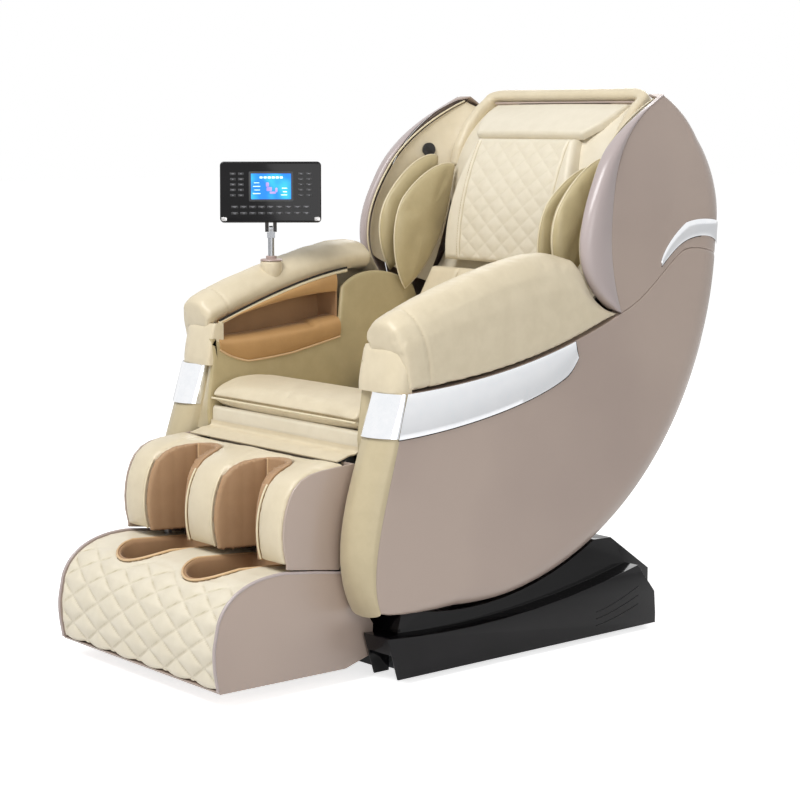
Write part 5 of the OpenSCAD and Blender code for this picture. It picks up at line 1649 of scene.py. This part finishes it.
@dataclass
class Hood:
    """Inside of the head sides: linings, padded arch, shoulder bags and speakers."""

    lines: CapsuleLines = LINES
    arch: tuple[Pair, ...] = ((425, 1010), (434, 1055), (458, 1100), (492, 1138), (528, 1164))
    speaker: Triple = (314.9, 380.0, 1050.0)
    speaker_tilt: float = 14.5
    speaker_face: float = 6.1

    def lining(self, side: Side) -> Item:
        """The cream lining between a rolled lip and the back."""
        shape = self.lines
        upper, lower = shape.rim_edge
        lip = chain(bez(upper, 24), [bez_at(lower, i / 36) for i in range(25)])
        low_rear = [(424, 985), (420, 950), (412, 910), (400, 870), (386, 830), (370, 790), (352, 760), (340, 740)]
        rear = resampled(smooth_line([(508, 1150), *self.arch[::-1][1:], *low_rear], 6), len(lip) - 1)
        sag = ((0, 0), (-0.02, 0.12), (0.1, 0.32), (0.3, 0.55), (0.62, 0.8), (1, 1))
        rings: list[Ring] = []
        for p, r in zip(lip[::-1], rear[::-1]):
            f, b = (p[0] + 13, p[1] - 4), (r[0] + 4, r[1])
            x0, x1 = shape.wing_x(p[1]) - 33.4, 281.0
            line = smooth_line([(mix(x0, x1, u), *mix_points(f, b, v)) for u, v in sag], 3)
            behind = [(x + 5, y + 3, z) for x, y, z in line[::-3]]
            rings.append([(side.value * x, y, z) for x, y, z in line + behind])
        return loft(f"head_lining_{side.word}", rings, sharp=60)

    def lip_line(self, side: Side, ahead: float, inside: float) -> Ring:
        """A line beside the rolled lip's inner edge."""
        shape = self.lines
        upper, lower = shape.rim_edge
        lip = chain(bez(upper, 30), [bez_at(lower, i / 40) for i in range(30)])
        return [(side.value * (shape.wing_x(p[1]) - inside), p[0] + ahead, p[1] - 2) for p in lip]

    def leaf(self, ring: Sequence[Pair]) -> list[Pair]:
        """A bag's outline from nine points: three corners, with two handles after each."""
        closed = [*ring, ring[0]]
        return chain(*(bez(closed[k : k + 4], steps) for k, steps in ((0, 14), (3, 14), (6, 18))))[:-1]

    def shoulder(self, side: Side) -> None:
        """Two leaf-shaped bags one behind the other, with piping round each."""
        inner = self.leaf(
            [
                (242, 730), (200, 790), (200, 890), (236, 940), (280, 990), (350, 1030), (396, 1016), (372, 900),
                (350, 800),
            ]
        )
        outer = self.leaf(
            [
                (236, 772), (196, 830), (196, 900), (232, 946), (270, 1000), (340, 1050), (384, 1036), (372, 930),
                (340, 840),
            ]
        )
        stands_for = f"shoulder_pads_{side.word}"
        for word, x0, x1, outline in (("inner", 224, 254, inner), ("outer", 268, 306, outer)):
            pair = sorted((side.value * x0, side.value * x1))
            bag = puffed(lens(f"shoulder_{word}_{side.word}", *pair, outline), 4, 2.5, 10)
            dress(bag, SHADED_LEATHER, "capsule", stands_for, pad=0.6)
            ring = [(sum(pair) / 2, *q) for q in outline]
            dress(tube(f"shoulder_piping_{word}_{side.word}", ring, 1.8, closed=True), PIPING, "capsule")
        between = smooth_ring([(300, 850), (325, 890), (300, 930), (275, 890)], 6)
        link = loft(f"shoulder_link_{side.word}", [[(side.value * x, *q) for q in between] for x in (246, 272)])
        dress(link, SHADED_LEATHER, "capsule", stands_for, pad=0.4)

    def grille(self) -> None:
        """Speaker cloth holes in rings on each disc, as dark dots of painted shadow."""
        for side in Side:
            tilt = radians(self.speaker_tilt)
            axis = Vector((-cos(tilt), 0, sin(tilt)))
            axis.x *= side.value
            level, middle = Vector((axis.z, 0, -axis.x)), Vector((side.value * self.speaker[0], *self.speaker[1:]))
            places = []
            for radius, count in ((0, 1), (3.4, 6), (6.8, 12), (10.2, 18)):
                for k in range(count):
                    a = 2 * pi * k / count
                    across = level * (radius * cos(a)) + Vector((0, 1, 0)) * (radius * sin(a))
                    spot = middle + axis * self.speaker_face + across
                    places.append((tuple(spot), tuple(axis)))
            DotRow(0.9, 0.5, 8).set_out(f"speaker_holes_{side.word}", places, "capsule", PAINTED_SHADOW)

    def build(self) -> None:
        """Builds and dresses the inside of the head sides."""
        for side in Side:
            dress(self.lining(side), CREAM, "capsule", "wing_linings", pad=0.5)
            dress(tube(f"lining_piping_{side.word}", self.lip_line(side, 9.0, 29.0), 2.2), PIPING, "capsule")
            self.shoulder(side)
        arch = soft_copy("head_arch", "head_frame", 3.5, 10, 0.8)
        arch = puffed(arch, 3, 3.0, 10)
        dress(arch, CREAM, "capsule", "head_arch", pad=0.8)
        self.grille()


@dataclass
class Seat:
    """The seat cushion with its welt, and the padded panel below it."""

    welt_z: float = 519.0
    cross_seam: float = -178.0
    side_seam: float = 168.0

    def build(self) -> None:
        """Builds and dresses the seat."""
        cushion = puffed(soft_copy("seat_cushion", "seat_pillow", 5, 8, 2.4), 5, 3.5, 14)
        front = [(-330, self.welt_z), (-270, self.welt_z + 2), (-150, self.welt_z - 8), (60, self.welt_z - 22)]

        def sewn(p: np.ndarray, n: np.ndarray) -> np.ndarray:
            """A deep channel round the front, a shallow one across the top and two down it."""
            welt = groove(off_line(p, front), 5.0, 3.4)
            down = groove(np.abs(p[:, 0]) - self.side_seam, 2.5, 4) * (p[:, 1] > -170)
            return welt + (n[:, 2] > 0.3) * (groove(p[:, 1] - self.cross_seam, 3.5, 5) + down)

        dress(moved(cushion, sewn), CREAM, "capsule", "seat_cushion", pad=0.75)
        panel = soft_copy("seat_front_panel", "seat_apron", 3, 5, 0.8)
        dress(panel, PALE, "capsule", "seat_front_panel", pad=0.5)
        line = smooth_line([(x, y, self.welt_z - 1) for x, y in ((-250, -301), (0, -301.5), (250, -301))], 6)
        dress(tube("seat_welt", line, 2.4), PIPING, "capsule")


@dataclass
class LegRest:
    """The calf rest with its two channels, and the foot rest with its two wells."""

    width: float = 570.0
    pitch: float = 247.0
    channel_y: float = -515.0
    half: float = 78.0
    lining: float = 12.0
    deep: float = 140.0
    well_x: float = 120.0
    well_half: float = 63.0
    well_y: Pair = (-612.0, -400.0)
    well_mid: float = -506.0
    well_corner: float = 30.0
    quilt_across: float = 96.0
    quilt_up: float = 60.0
    toe_curve: tuple[Pair, ...] = ((-665, 170), (-648, 215), (-600, 248), (-506, 246))

    def foot_front(self) -> list[Pair]:
        """The foot pad's face, up its front and back over its top."""
        top = chain(bez(self.toe_curve, 20), [(-506, 246), (-430, 237), (-364, 227)])
        return chain(smooth_line([(-667, 38), (-674, 80), (-675, 119), (-665, 170)], 6), top)

    def calf_pad(self) -> None:
        """The three bolsters of the calf rest."""
        pad = puffed(soft_copy("calf_pad", "calf_bolsters", 4.5, 8, 1.8), 4, 3.0, 12)

        def sewn(p: np.ndarray, n: np.ndarray) -> np.ndarray:
            """Each bolster is crowned across its width."""
            face = np.clip(-n[:, 1] + n[:, 2] * 0.5, 0, 1)
            u = np.where(np.abs(p[:, 0]) < 60, np.abs(p[:, 0]) / 45.5, np.abs(np.abs(p[:, 0]) - 240.7) / 39.3)
            return face * (7 * np.sqrt(np.clip(1 - u**2, 0, 1)) - 3)

        dress(moved(pad, sewn), CREAM, "leg_rest", "calf_pad", pad=0.75)

    def channel_bags(self) -> Item:
        """The tan linings of the calf channels, swollen between vertical seams."""
        bags = soft_copy("calf_lining", "calf_bags", 2.8, 4, 0.6)

        def swell(p: np.ndarray, n: np.ndarray) -> np.ndarray:
            """Cells between seams on the inner face of each channel."""
            x, y = np.abs(p[:, 0]) - self.pitch / 2, p[:, 1] - self.channel_y
            radius = np.hypot(x / (self.half - self.lining / 2), y / (self.deep - self.lining / 2))
            inner = (radius < 1) & (np.abs(n[:, 2]) < 0.6)
            turn = np.arctan2(y / self.deep, x / self.half)
            return inner * (13 * np.abs(np.sin(3 * turn)) ** 0.5 - 5.5)

        return moved(bags, swell)

    def channel_seams(self, side: Side) -> None:
        """Piping in the seams of a calf channel's lining."""
        for k in (1, 2):
            turn = pi * k / 3
            x = side.value * self.pitch / 2 + (self.half - self.lining) * cos(turn)
            y = self.channel_y + (self.deep - self.lining) * sin(turn)
            line = [(x, y + 1.5, z) for z in np.linspace(259, 438, 12)]
            dress(tube(f"channel_seam_{side.word}_{k}", line, 2.0), TAN_PIPING, "leg_rest")

    def foot_pad(self) -> None:
        """The quilted pad over the foot rest's front and top."""
        line = self.foot_front()
        seam = bez_at(self.toe_curve, 0.62)
        start = along(np.array([seam]), line)[0][0]
        pad = soft_copy("foot_pad", "foot_cushion", 3.2, 5, 1.6)

        def sewn(p: np.ndarray, n: np.ndarray) -> np.ndarray:
            """Diamonds up the front as far as the wells, and smooth leather round those."""
            run, off = along(p[:, 1:], line)
            outer = (off < 9) & (np.abs(n[:, 0]) < 0.7)
            raised = quilt(p[:, 0], (run - 8) * self.quilt_across / self.quilt_up, self.quilt_across, 7.0)
            border = np.clip((self.width / 2 - 9 - np.abs(p[:, 0])) / 8, 0, 1)
            x, y = np.abs(p[:, 0]) - self.well_x, p[:, 1] - self.well_y[0] - self.well_half
            well = np.hypot(x, y) - self.well_half - 8
            clear = np.clip((well - 8) / 10, 0, 1) * np.clip((start - run) / 20, 0, 1)
            return outer * raised * border * clear

        dress(moved(pad, sewn), PALE, "foot_rest", "foot_pad", pad=0.7)

    def panel_edge(self, name: str, side: Side, line: Sequence[Pair], body: str) -> None:
        """The rolled edge along the front and top of a side panel."""
        x = side.value * (self.width / 2 - 2.2)
        dress(tube(name, [(x, *q) for q in resampled(line, 60)], 3.2), RIM, body)

    def curtain(self) -> None:
        """The leather flap that covers the hinge between the seat and the leg rest."""
        line = smooth_line([(-300, 470), (-301, 461), (-309, 457), (-324, 456), (-340, 451), (-356, 447)], 5)
        rings: list[Ring] = []
        for x in np.linspace(-256, 256, 30):
            rings.append([(x, y, z) for y, z in line] + [(x, y + 1, z - 2.4) for y, z in line[::-1]])
        flap = loft("hinge_curtain", rings, sharp=70)
        flap.data.materials.append(CREAM.material())
        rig.blend(flap, "capsule", "leg_rest", start=(0, -0.301, 0.460), end=(0, -0.345, 0.449))
        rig.slot(flap, CREAM.slot)
        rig.padded(flap, fill=0.3)

    def well_outline(self, grow: float) -> list[Pair]:
        """A foot well seen from above, as (x, y) from its middle line."""
        w, (y0, y1), r = self.well_half + grow, self.well_y, self.well_corner
        out = [(w * cos(a), y0 + self.well_half + w * sin(a)) for a in np.linspace(pi, 2 * pi, 25)]
        for turn, sign in ((0, 1), (90, -1)):
            for k in range(7):
                a = radians(turn + 15 * k)
                out.append((sign * (w - r) + r * cos(a), y1 + grow - r + r * sin(a)))
        return out

    def top_z(self, y: float) -> float:
        """The height of the foot pad's top at a depth."""
        line = [p for p in self.foot_front() if p[1] > 150]
        return float(np.interp(y, [p[0] for p in line], [p[1] for p in line]))

    def well_bag(self, side: Side) -> Item:
        """The tan lining of a foot well."""
        c, outline = side.value * self.well_x, self.well_outline(0)

        def level(grow: float, z: float) -> Ring:
            """The well's outline, grown, at a height."""
            return [(c + x, y, z) for x, y in self.well_outline(grow)]

        def drawn_in(k: float, z: float) -> Ring:
            """The well's outline drawn in towards its middle, at a height."""
            return [(c + x * k, mix(self.well_mid, y, k), z) for x, y in outline]

        section = ((7.3, 60), (7.3, 6), (6, 1), (3, -1), (0.5, 1), (-1, 8), (-3, 30), (-3, 60), (-1.5, 100))
        rings: list[Ring] = [
            [(c + x, y, self.top_z(y) - drop) for x, y in self.well_outline(grow)] for grow, drop in section
        ]
        rings += [level(-1.0, 90.0), drawn_in(0.5, 86.0), drawn_in(0.04, 85.0), drawn_in(0.04, 79.0), level(7.0, 79.0)]
        return loft(f"foot_bag_{side.word}", [*rings, rings[0]], caps=False, sharp=60)

    def build(self) -> None:
        """Builds and dresses the leg rest."""
        shell = bevelled(copy_of("calf_shell", "calf_housing"), 1.6, 3)
        dress(shell, SHELL, "leg_rest", "calf_shell")
        foot = bevelled(copy_of("foot_shell", "foot_housing"), 1.6, 3)
        dress(foot, SHELL, "foot_rest", "foot_shell")
        dress(self.channel_bags(), CALF_TAN, "leg_rest", "calf_lining", pad=0.6)
        self.calf_pad()
        self.foot_pad()
        self.curtain()
        for side in Side:
            self.channel_seams(side)
            self.panel_edge(f"foot_edge_{side.word}", side, self.foot_front(), "foot_rest")
            dress(self.well_bag(side), CALF_TAN, "foot_rest", "foot_lining", pad=0.5)
            c = side.value * self.well_x
            ring = [(c + x, y, self.top_z(y) + 0.6) for x, y in self.well_outline(8.5)]
            dress(tube(f"well_piping_{side.word}", ring, 2.6, closed=True), TAN_PIPING, "foot_rest")
            for edge in (-1, 1):
                x = side.value * self.pitch / 2 + edge * (self.half + 0.5)
                line = [(x, y - 2.6, z) for y, z in bez([(-484, 408), (-505, 380), (-520, 320), (-502, 262)], 24)]
                dress(tube(f"channel_piping_{side.word}_{'in' if edge < 0 else 'out'}", line, 2.2), PIPING, "leg_rest")


@dataclass
class Base:
    """The gloss cover of the base, with the fanned beads on its ledges."""

    ledge_x: float = 371.1

    def build(self) -> None:
        """Builds and dresses the base."""
        cover = bevelled(copy_of("base_cover", "base_housing"), 2.6, 3, 24)
        dress(cover, GLOSS_BLACK, "base", "base_cover")
        for side in Side:
            for k in range(3):
                line = [
                    (side.value * self.ledge_x, y, mix(34 + 15 * k, 62 + 20 * k, ((y - 270) / 130) ** 1.4))
                    for y in np.linspace(270, 400, 20)
                ]
                dress(tube(f"base_bead_{side.word}_{k}", line, 1.1), GLOSS_BLACK, "base")


@dataclass
class ControlPanel:
    """The control panel on its post: case, lit display with plain tiles, touch keys and mount."""

    post: Pair = (-296.0, -103.0)
    post_top: float = 878.0
    yaw: float = 52.0
    lean: float = 8.0
    width: float = 226.0
    height: float = 136.0
    thick: float = 22.0
    neck: float = 13.0
    screen: Pair = (90.0, 58.0)
    screen_at: Pair = (1.0, 12.0)

    def place(self, x: float, y: float, z: float) -> Triple:
        """A point on the tilted panel, whose middle is its own origin."""
        y, z = y - 8, z + self.neck + self.height / 2
        a = radians(-self.lean)
        y, z = y * cos(a) - z * sin(a), y * sin(a) + z * cos(a)
        b = radians(self.yaw)
        return (
            self.post[0] + x * cos(b) - y * sin(b),
            self.post[1] + x * sin(b) + y * cos(b),
            self.post_top + z,
        )

    def rounded(self, w: float, h: float, r: float, steps: int = 6) -> list[Pair]:
        """A rectangle with round corners about the origin, anticlockwise."""
        out, x, z = [], w / 2 - r, h / 2 - r
        for cx, cz, first in ((x, -z, -90), (x, z, 0), (-x, z, 90), (-x, -z, 180)):
            turns = [radians(first + 90 * k / steps) for k in range(steps + 1)]
            out += [(cx + r * cos(a), cz + r * sin(a)) for a in turns]
        return out

    def tablet(self, name: str, w: float, h: float, r: float, at: Pair, levels: Sequence[Pair]) -> Item:
        """A rounded plate on the panel: each level is (depth from the middle, inset)."""
        rings = []
        for y, d in levels:
            face = self.rounded(w - 2 * d, h - 2 * d, max(0.4, r - d))
            rings.append([self.place(at[0] + x, y, at[1] + z) for x, z in face])
        return loft(name, rings, sharp=35)

    def joined(self, name: str, parts: Sequence[Item]) -> Item:
        """Several meshes as one piece."""
        work = bmesh.new()
        for part in parts:
            work.from_mesh(part.data)
            bpy.data.objects.remove(part)
        mesh = bpy.data.meshes.new(name)
        work.to_mesh(mesh)
        work.free()
        shade(mesh, 35)
        return placed(name, mesh)

    @property
    def side_keys(self) -> list[Pair]:
        """The middles of the keys beside the display."""
        return [(x, z) for x in (-84, -66, 68, 86) for z in range(-8, 41, 12)]

    @property
    def low_keys(self) -> list[Pair]:
        """The middles of the keys below the display."""
        return [(x, z) for x in range(-80, 81, 20) for z in (-34, -48)]

    def marks(self) -> None:
        """Small plain marks on the keys: bars and dots."""
        f, parts = -self.thick / 2 - 0.9, []
        thin = [(f, 0), (f - 0.25, 0.1)]
        for i, at in enumerate(self.side_keys):
            w, h = (5.5, 1.3) if i % 3 else (2.2, 2.2)
            parts.append(self.tablet("mark", w, h, 0.5, at, thin))
        for i, (x, z) in enumerate(self.low_keys):
            parts.append(self.tablet("mark", 7 if i % 2 else 9, 1.2, 0.5, (x, z + 0.9), thin))
            parts.append(self.tablet("mark", 4.5, 0.9, 0.4, (x, z - 1.2), thin))
        dress(self.joined("key_marks", parts), KEY_MARK, "panel")

    def display(self) -> None:
        """The lit display: header, tiles and a violet figure, all plain shapes."""
        f = -self.thick / 2
        levels = [(f + 2, 0), (f + 0.2, 0), (f - 0.1, 0.4)]
        glass = self.tablet("display_glass", *self.screen, 1.5, self.screen_at, levels)
        dress(glass, SCREEN, "panel", "panel_screen")
        cx, cz = self.screen_at
        thin = [(f - 0.1, 0), (f - 0.4, 0.1)]
        tiles = [self.tablet("tile", 6.5, 4.6, 0.8, (cx - 22 + k * 9, cz + 20), thin) for k in range(6)]
        bars = ((-32, 8, 12), (-32, 0, 16), (-31, -8, 13), (-32, -16, 17), (30, -4, 12), (31, -12, 9), (29, -19, 14))
        for k, (x, z, w) in enumerate(bars):
            tiles.append(self.tablet("tile", w, 1.6 + 0.4 * (k % 2), 0.7, (cx + x, cz + z), thin))
        figure = [
            self.tablet("tile", w, h, 2.2, (cx + x, cz + z), [(f - 0.1, 0), (f - 0.4, 0.2)])
            for x, z, w, h in ((-8, 4, 7, 10), (-4, -6, 12, 9), (4, -14, 14, 5), (12, -8, 5, 10))
        ]
        dress(self.joined("display_tiles", tiles), ICON, "panel")
        dress(self.joined("display_figure", figure), ACCENT, "panel")

    def build(self) -> None:
        """Builds and dresses the control panel."""
        h = self.thick / 2

        def eased(sign: int, r: float, turns: Sequence[float]) -> list[Pair]:
            """The levels of a rounded edge: sign 1 for the rear one, -1 for the front one."""
            angles = [radians(a) for a in turns]
            return [(sign * (h - r * (1 - sin(a))), r * (1 - cos(a))) for a in angles]

        edges = eased(1, 4, (90, 60, 30, 0)) + eased(-1, 3, (0, 30, 60, 90))
        case = self.tablet("panel_housing", self.width, self.height, 9, (0, 0), edges)
        dress(case, GLOSS_BLACK, "panel", "panel_case")
        w, tall = (size + 9 for size in self.screen)
        bezel = self.tablet("display_bezel", w, tall, 3, self.screen_at, [(-h + 1, 0), (-h - 0.05, 0)])
        dress(bezel, MATT_BLACK, "panel")
        low, high = -self.neck - self.height / 2, -self.height / 2 + 1
        turns = np.linspace(0, 2 * pi, 24, False)
        knuckle = [(8 + 7 * cos(a), low + 7 * sin(a)) for a in turns]
        web = [(1, low), (15, low), (10, high), (-8, high)]
        hinge = [
            loft(name, [[self.place(x, y, z) for y, z in outline] for x in pair])
            for name, outline in (("knuckle", knuckle), ("web", web)) for pair in ((-13, -5), (5, 13))
        ]
        dress(self.joined("panel_hinge", hinge), MATT_BLACK, "panel", "panel_case")
        raised = [(-h, 0), (-h - 0.6, 0), (-h - 0.8, 0.3)]
        keys = [
            self.tablet("key", wide, 5.6, 1.4, at, raised)
            for wide, spots in ((13, self.side_keys), (16, self.low_keys)) for at in spots
        ]
        dress(self.joined("touch_keys", keys), MATT_BLACK, "panel", "panel_keys")
        self.marks()
        self.display()
        levels = [(-h + 2, 0), (-h - 0.35, 0.2), (-h - 0.5, 0.7)]
        corners = [
            self.tablet("corner", 13, 9, 3, (s * (self.width / 2 - 9), -self.height / 2 + 7), levels) for s in (-1, 1)
        ]
        dress(self.joined("panel_corners", corners), SILVER, "panel")
        mount = bevelled(copy_of("panel_mount", "post_rosette"), 0.8, 2)
        dress(mount, ROSETTE, "capsule", "panel_mount")
        turns = np.linspace(0, 2 * pi, 40, False)
        sizes = ((21, 770), (24, 782), (25, 792), (25, 799), (24.5, 804), (23.5, 806), (19, 806.4))
        collar = [[(self.post[0] + r * cos(a), self.post[1] + r * sin(a), z) for a in turns] for r, z in sizes]
        dress(loft("post_collar", collar, sharp=60), CREAM, "capsule", pad=0.7)


@dataclass
class Studio:
    """Pale floor, soft lights, world and camera."""

    floor_half: float = 30.0
    floor_seen: float = 0.74
    floor_gloss: float = 0.3
    world_light: float = 0.35

    def floor(self) -> None:
        """The floor, which keeps the object's shadow and shows the camera a pale ground."""
        mesh, half = bpy.data.meshes.new("studio_floor"), self.floor_half
        corners = [(x * half, y * half, -0.0005) for x, y in ((-1, -1), (1, -1), (1, 1), (-1, 1))]
        mesh.from_pydata(corners, [], [(0, 1, 2, 3)])
        obj = placed("studio_floor", mesh)
        material = bpy.data.materials.new("pale floor")
        material.use_nodes = True
        tree = material.node_tree
        tree.nodes.clear()
        rays = add(tree, "LightPath")
        seen = add(tree, "Math", rays.outputs["Is Camera Ray"], self.floor_seen, operation="MULTIPLY")
        both = (rays.outputs["Is Glossy Ray"], self.floor_gloss, seen.outputs[0])
        level = add(tree, "Math", *both, operation="MULTIPLY_ADD").outputs[0]
        matt = add(tree, "BsdfDiffuse", Color=(0.86, 0.86, 0.86, 1))
        lift = add(tree, "Emission", Color=(1, 1, 1, 1), Strength=level)
        ground = add(tree, "AddShader", matt.outputs[0], lift.outputs[0])
        add(tree, "OutputMaterial", Surface=ground.outputs[0])
        mesh.materials.append(material)
        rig.stage(obj)

    def world(self) -> None:
        """A white surround: full strength to the camera and to reflections, less as light."""
        world = bpy.data.worlds.new("studio")
        world.use_nodes = True
        tree = world.node_tree
        tree.nodes.clear()
        rays = add(tree, "LightPath")
        camera, glass, gloss = (rays.outputs[f"Is {word} Ray"] for word in ("Camera", "Transmission", "Glossy"))
        seen = add(tree, "Math", camera, glass, operation="MAXIMUM")
        bright = add(tree, "Math", seen.outputs[0], gloss, operation="MAXIMUM")
        level = add(tree, "MapRange", Value=bright.outputs[0], To_Min=self.world_light, To_Max=1.0)
        back = add(tree, "Background", Color=(1, 1, 1, 1), Strength=level.outputs["Result"])
        add(tree, "OutputWorld", Surface=back.outputs[0])
        bpy.context.scene.world = world

    def lamp(self, name: str, at: Triple, aim: Triple, power: float, size: float) -> None:
        """A square soft light that looks at a point."""
        data = bpy.data.lights.new(name, "AREA")
        data.energy, data.size = power, size
        obj = placed(name, data)
        obj.location = at
        obj.rotation_euler = (Vector(aim) - Vector(at)).to_track_quat("-Z", "Y").to_euler()

    def camera(self) -> None:
        """The camera at the viewing angle."""
        data = bpy.data.cameras.new("camera")
        data.lens, data.sensor_width, data.sensor_fit = 92.4, 36, "HORIZONTAL"
        data.clip_end = 100
        obj = placed("camera", data)
        obj.location = (3.416, -2.856, 1.12)
        obj.rotation_euler = tuple(radians(a) for a in (82.23, 0, 49.85))
        bpy.context.scene.camera = obj

    def build(self) -> None:
        """Sets up the studio."""
        bpy.context.scene.view_settings.view_transform = "Standard"
        self.camera()
        self.floor()
        self.world()
        self.lamp("key", (0.6, -2.6, 4.2), (0, 0, 0.5), 150, 2.2)
        self.lamp("fill", (4.2, -1.6, 1.8), (0, 0, 0.6), 42, 2.6)
        self.lamp("rear", (-2.0, 3.4, 3.0), (0, 0, 0.7), 60, 2.6)


def main() -> None:
    """Loads the frame, dresses every piece and writes the sizes."""
    logging.basicConfig(level=logging.INFO, format="%(message)s")
    FRAME.update(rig.load())
    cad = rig.bounds()
    Studio().build()
    for node, finish in NODE_FINISH.items():
        for slot in FRAME["nodes"][node].material_slots:
            slot.material = finish.material()
    for part in (Base(), Shells(), Hood(), Back(), Arms(), Seat(), LegRest(), ControlPanel()):
        part.build()
        LOG.info("%s done", type(part).__name__)
    sizes = {"cad": [list(map(float, v)) for v in cad], "visual": [list(map(float, v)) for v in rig.bounds()]}
    with open(SIZE_FILE, "w", encoding="utf-8") as out:
        json.dump(sizes, out)


if __name__ == "__main__":
    main()
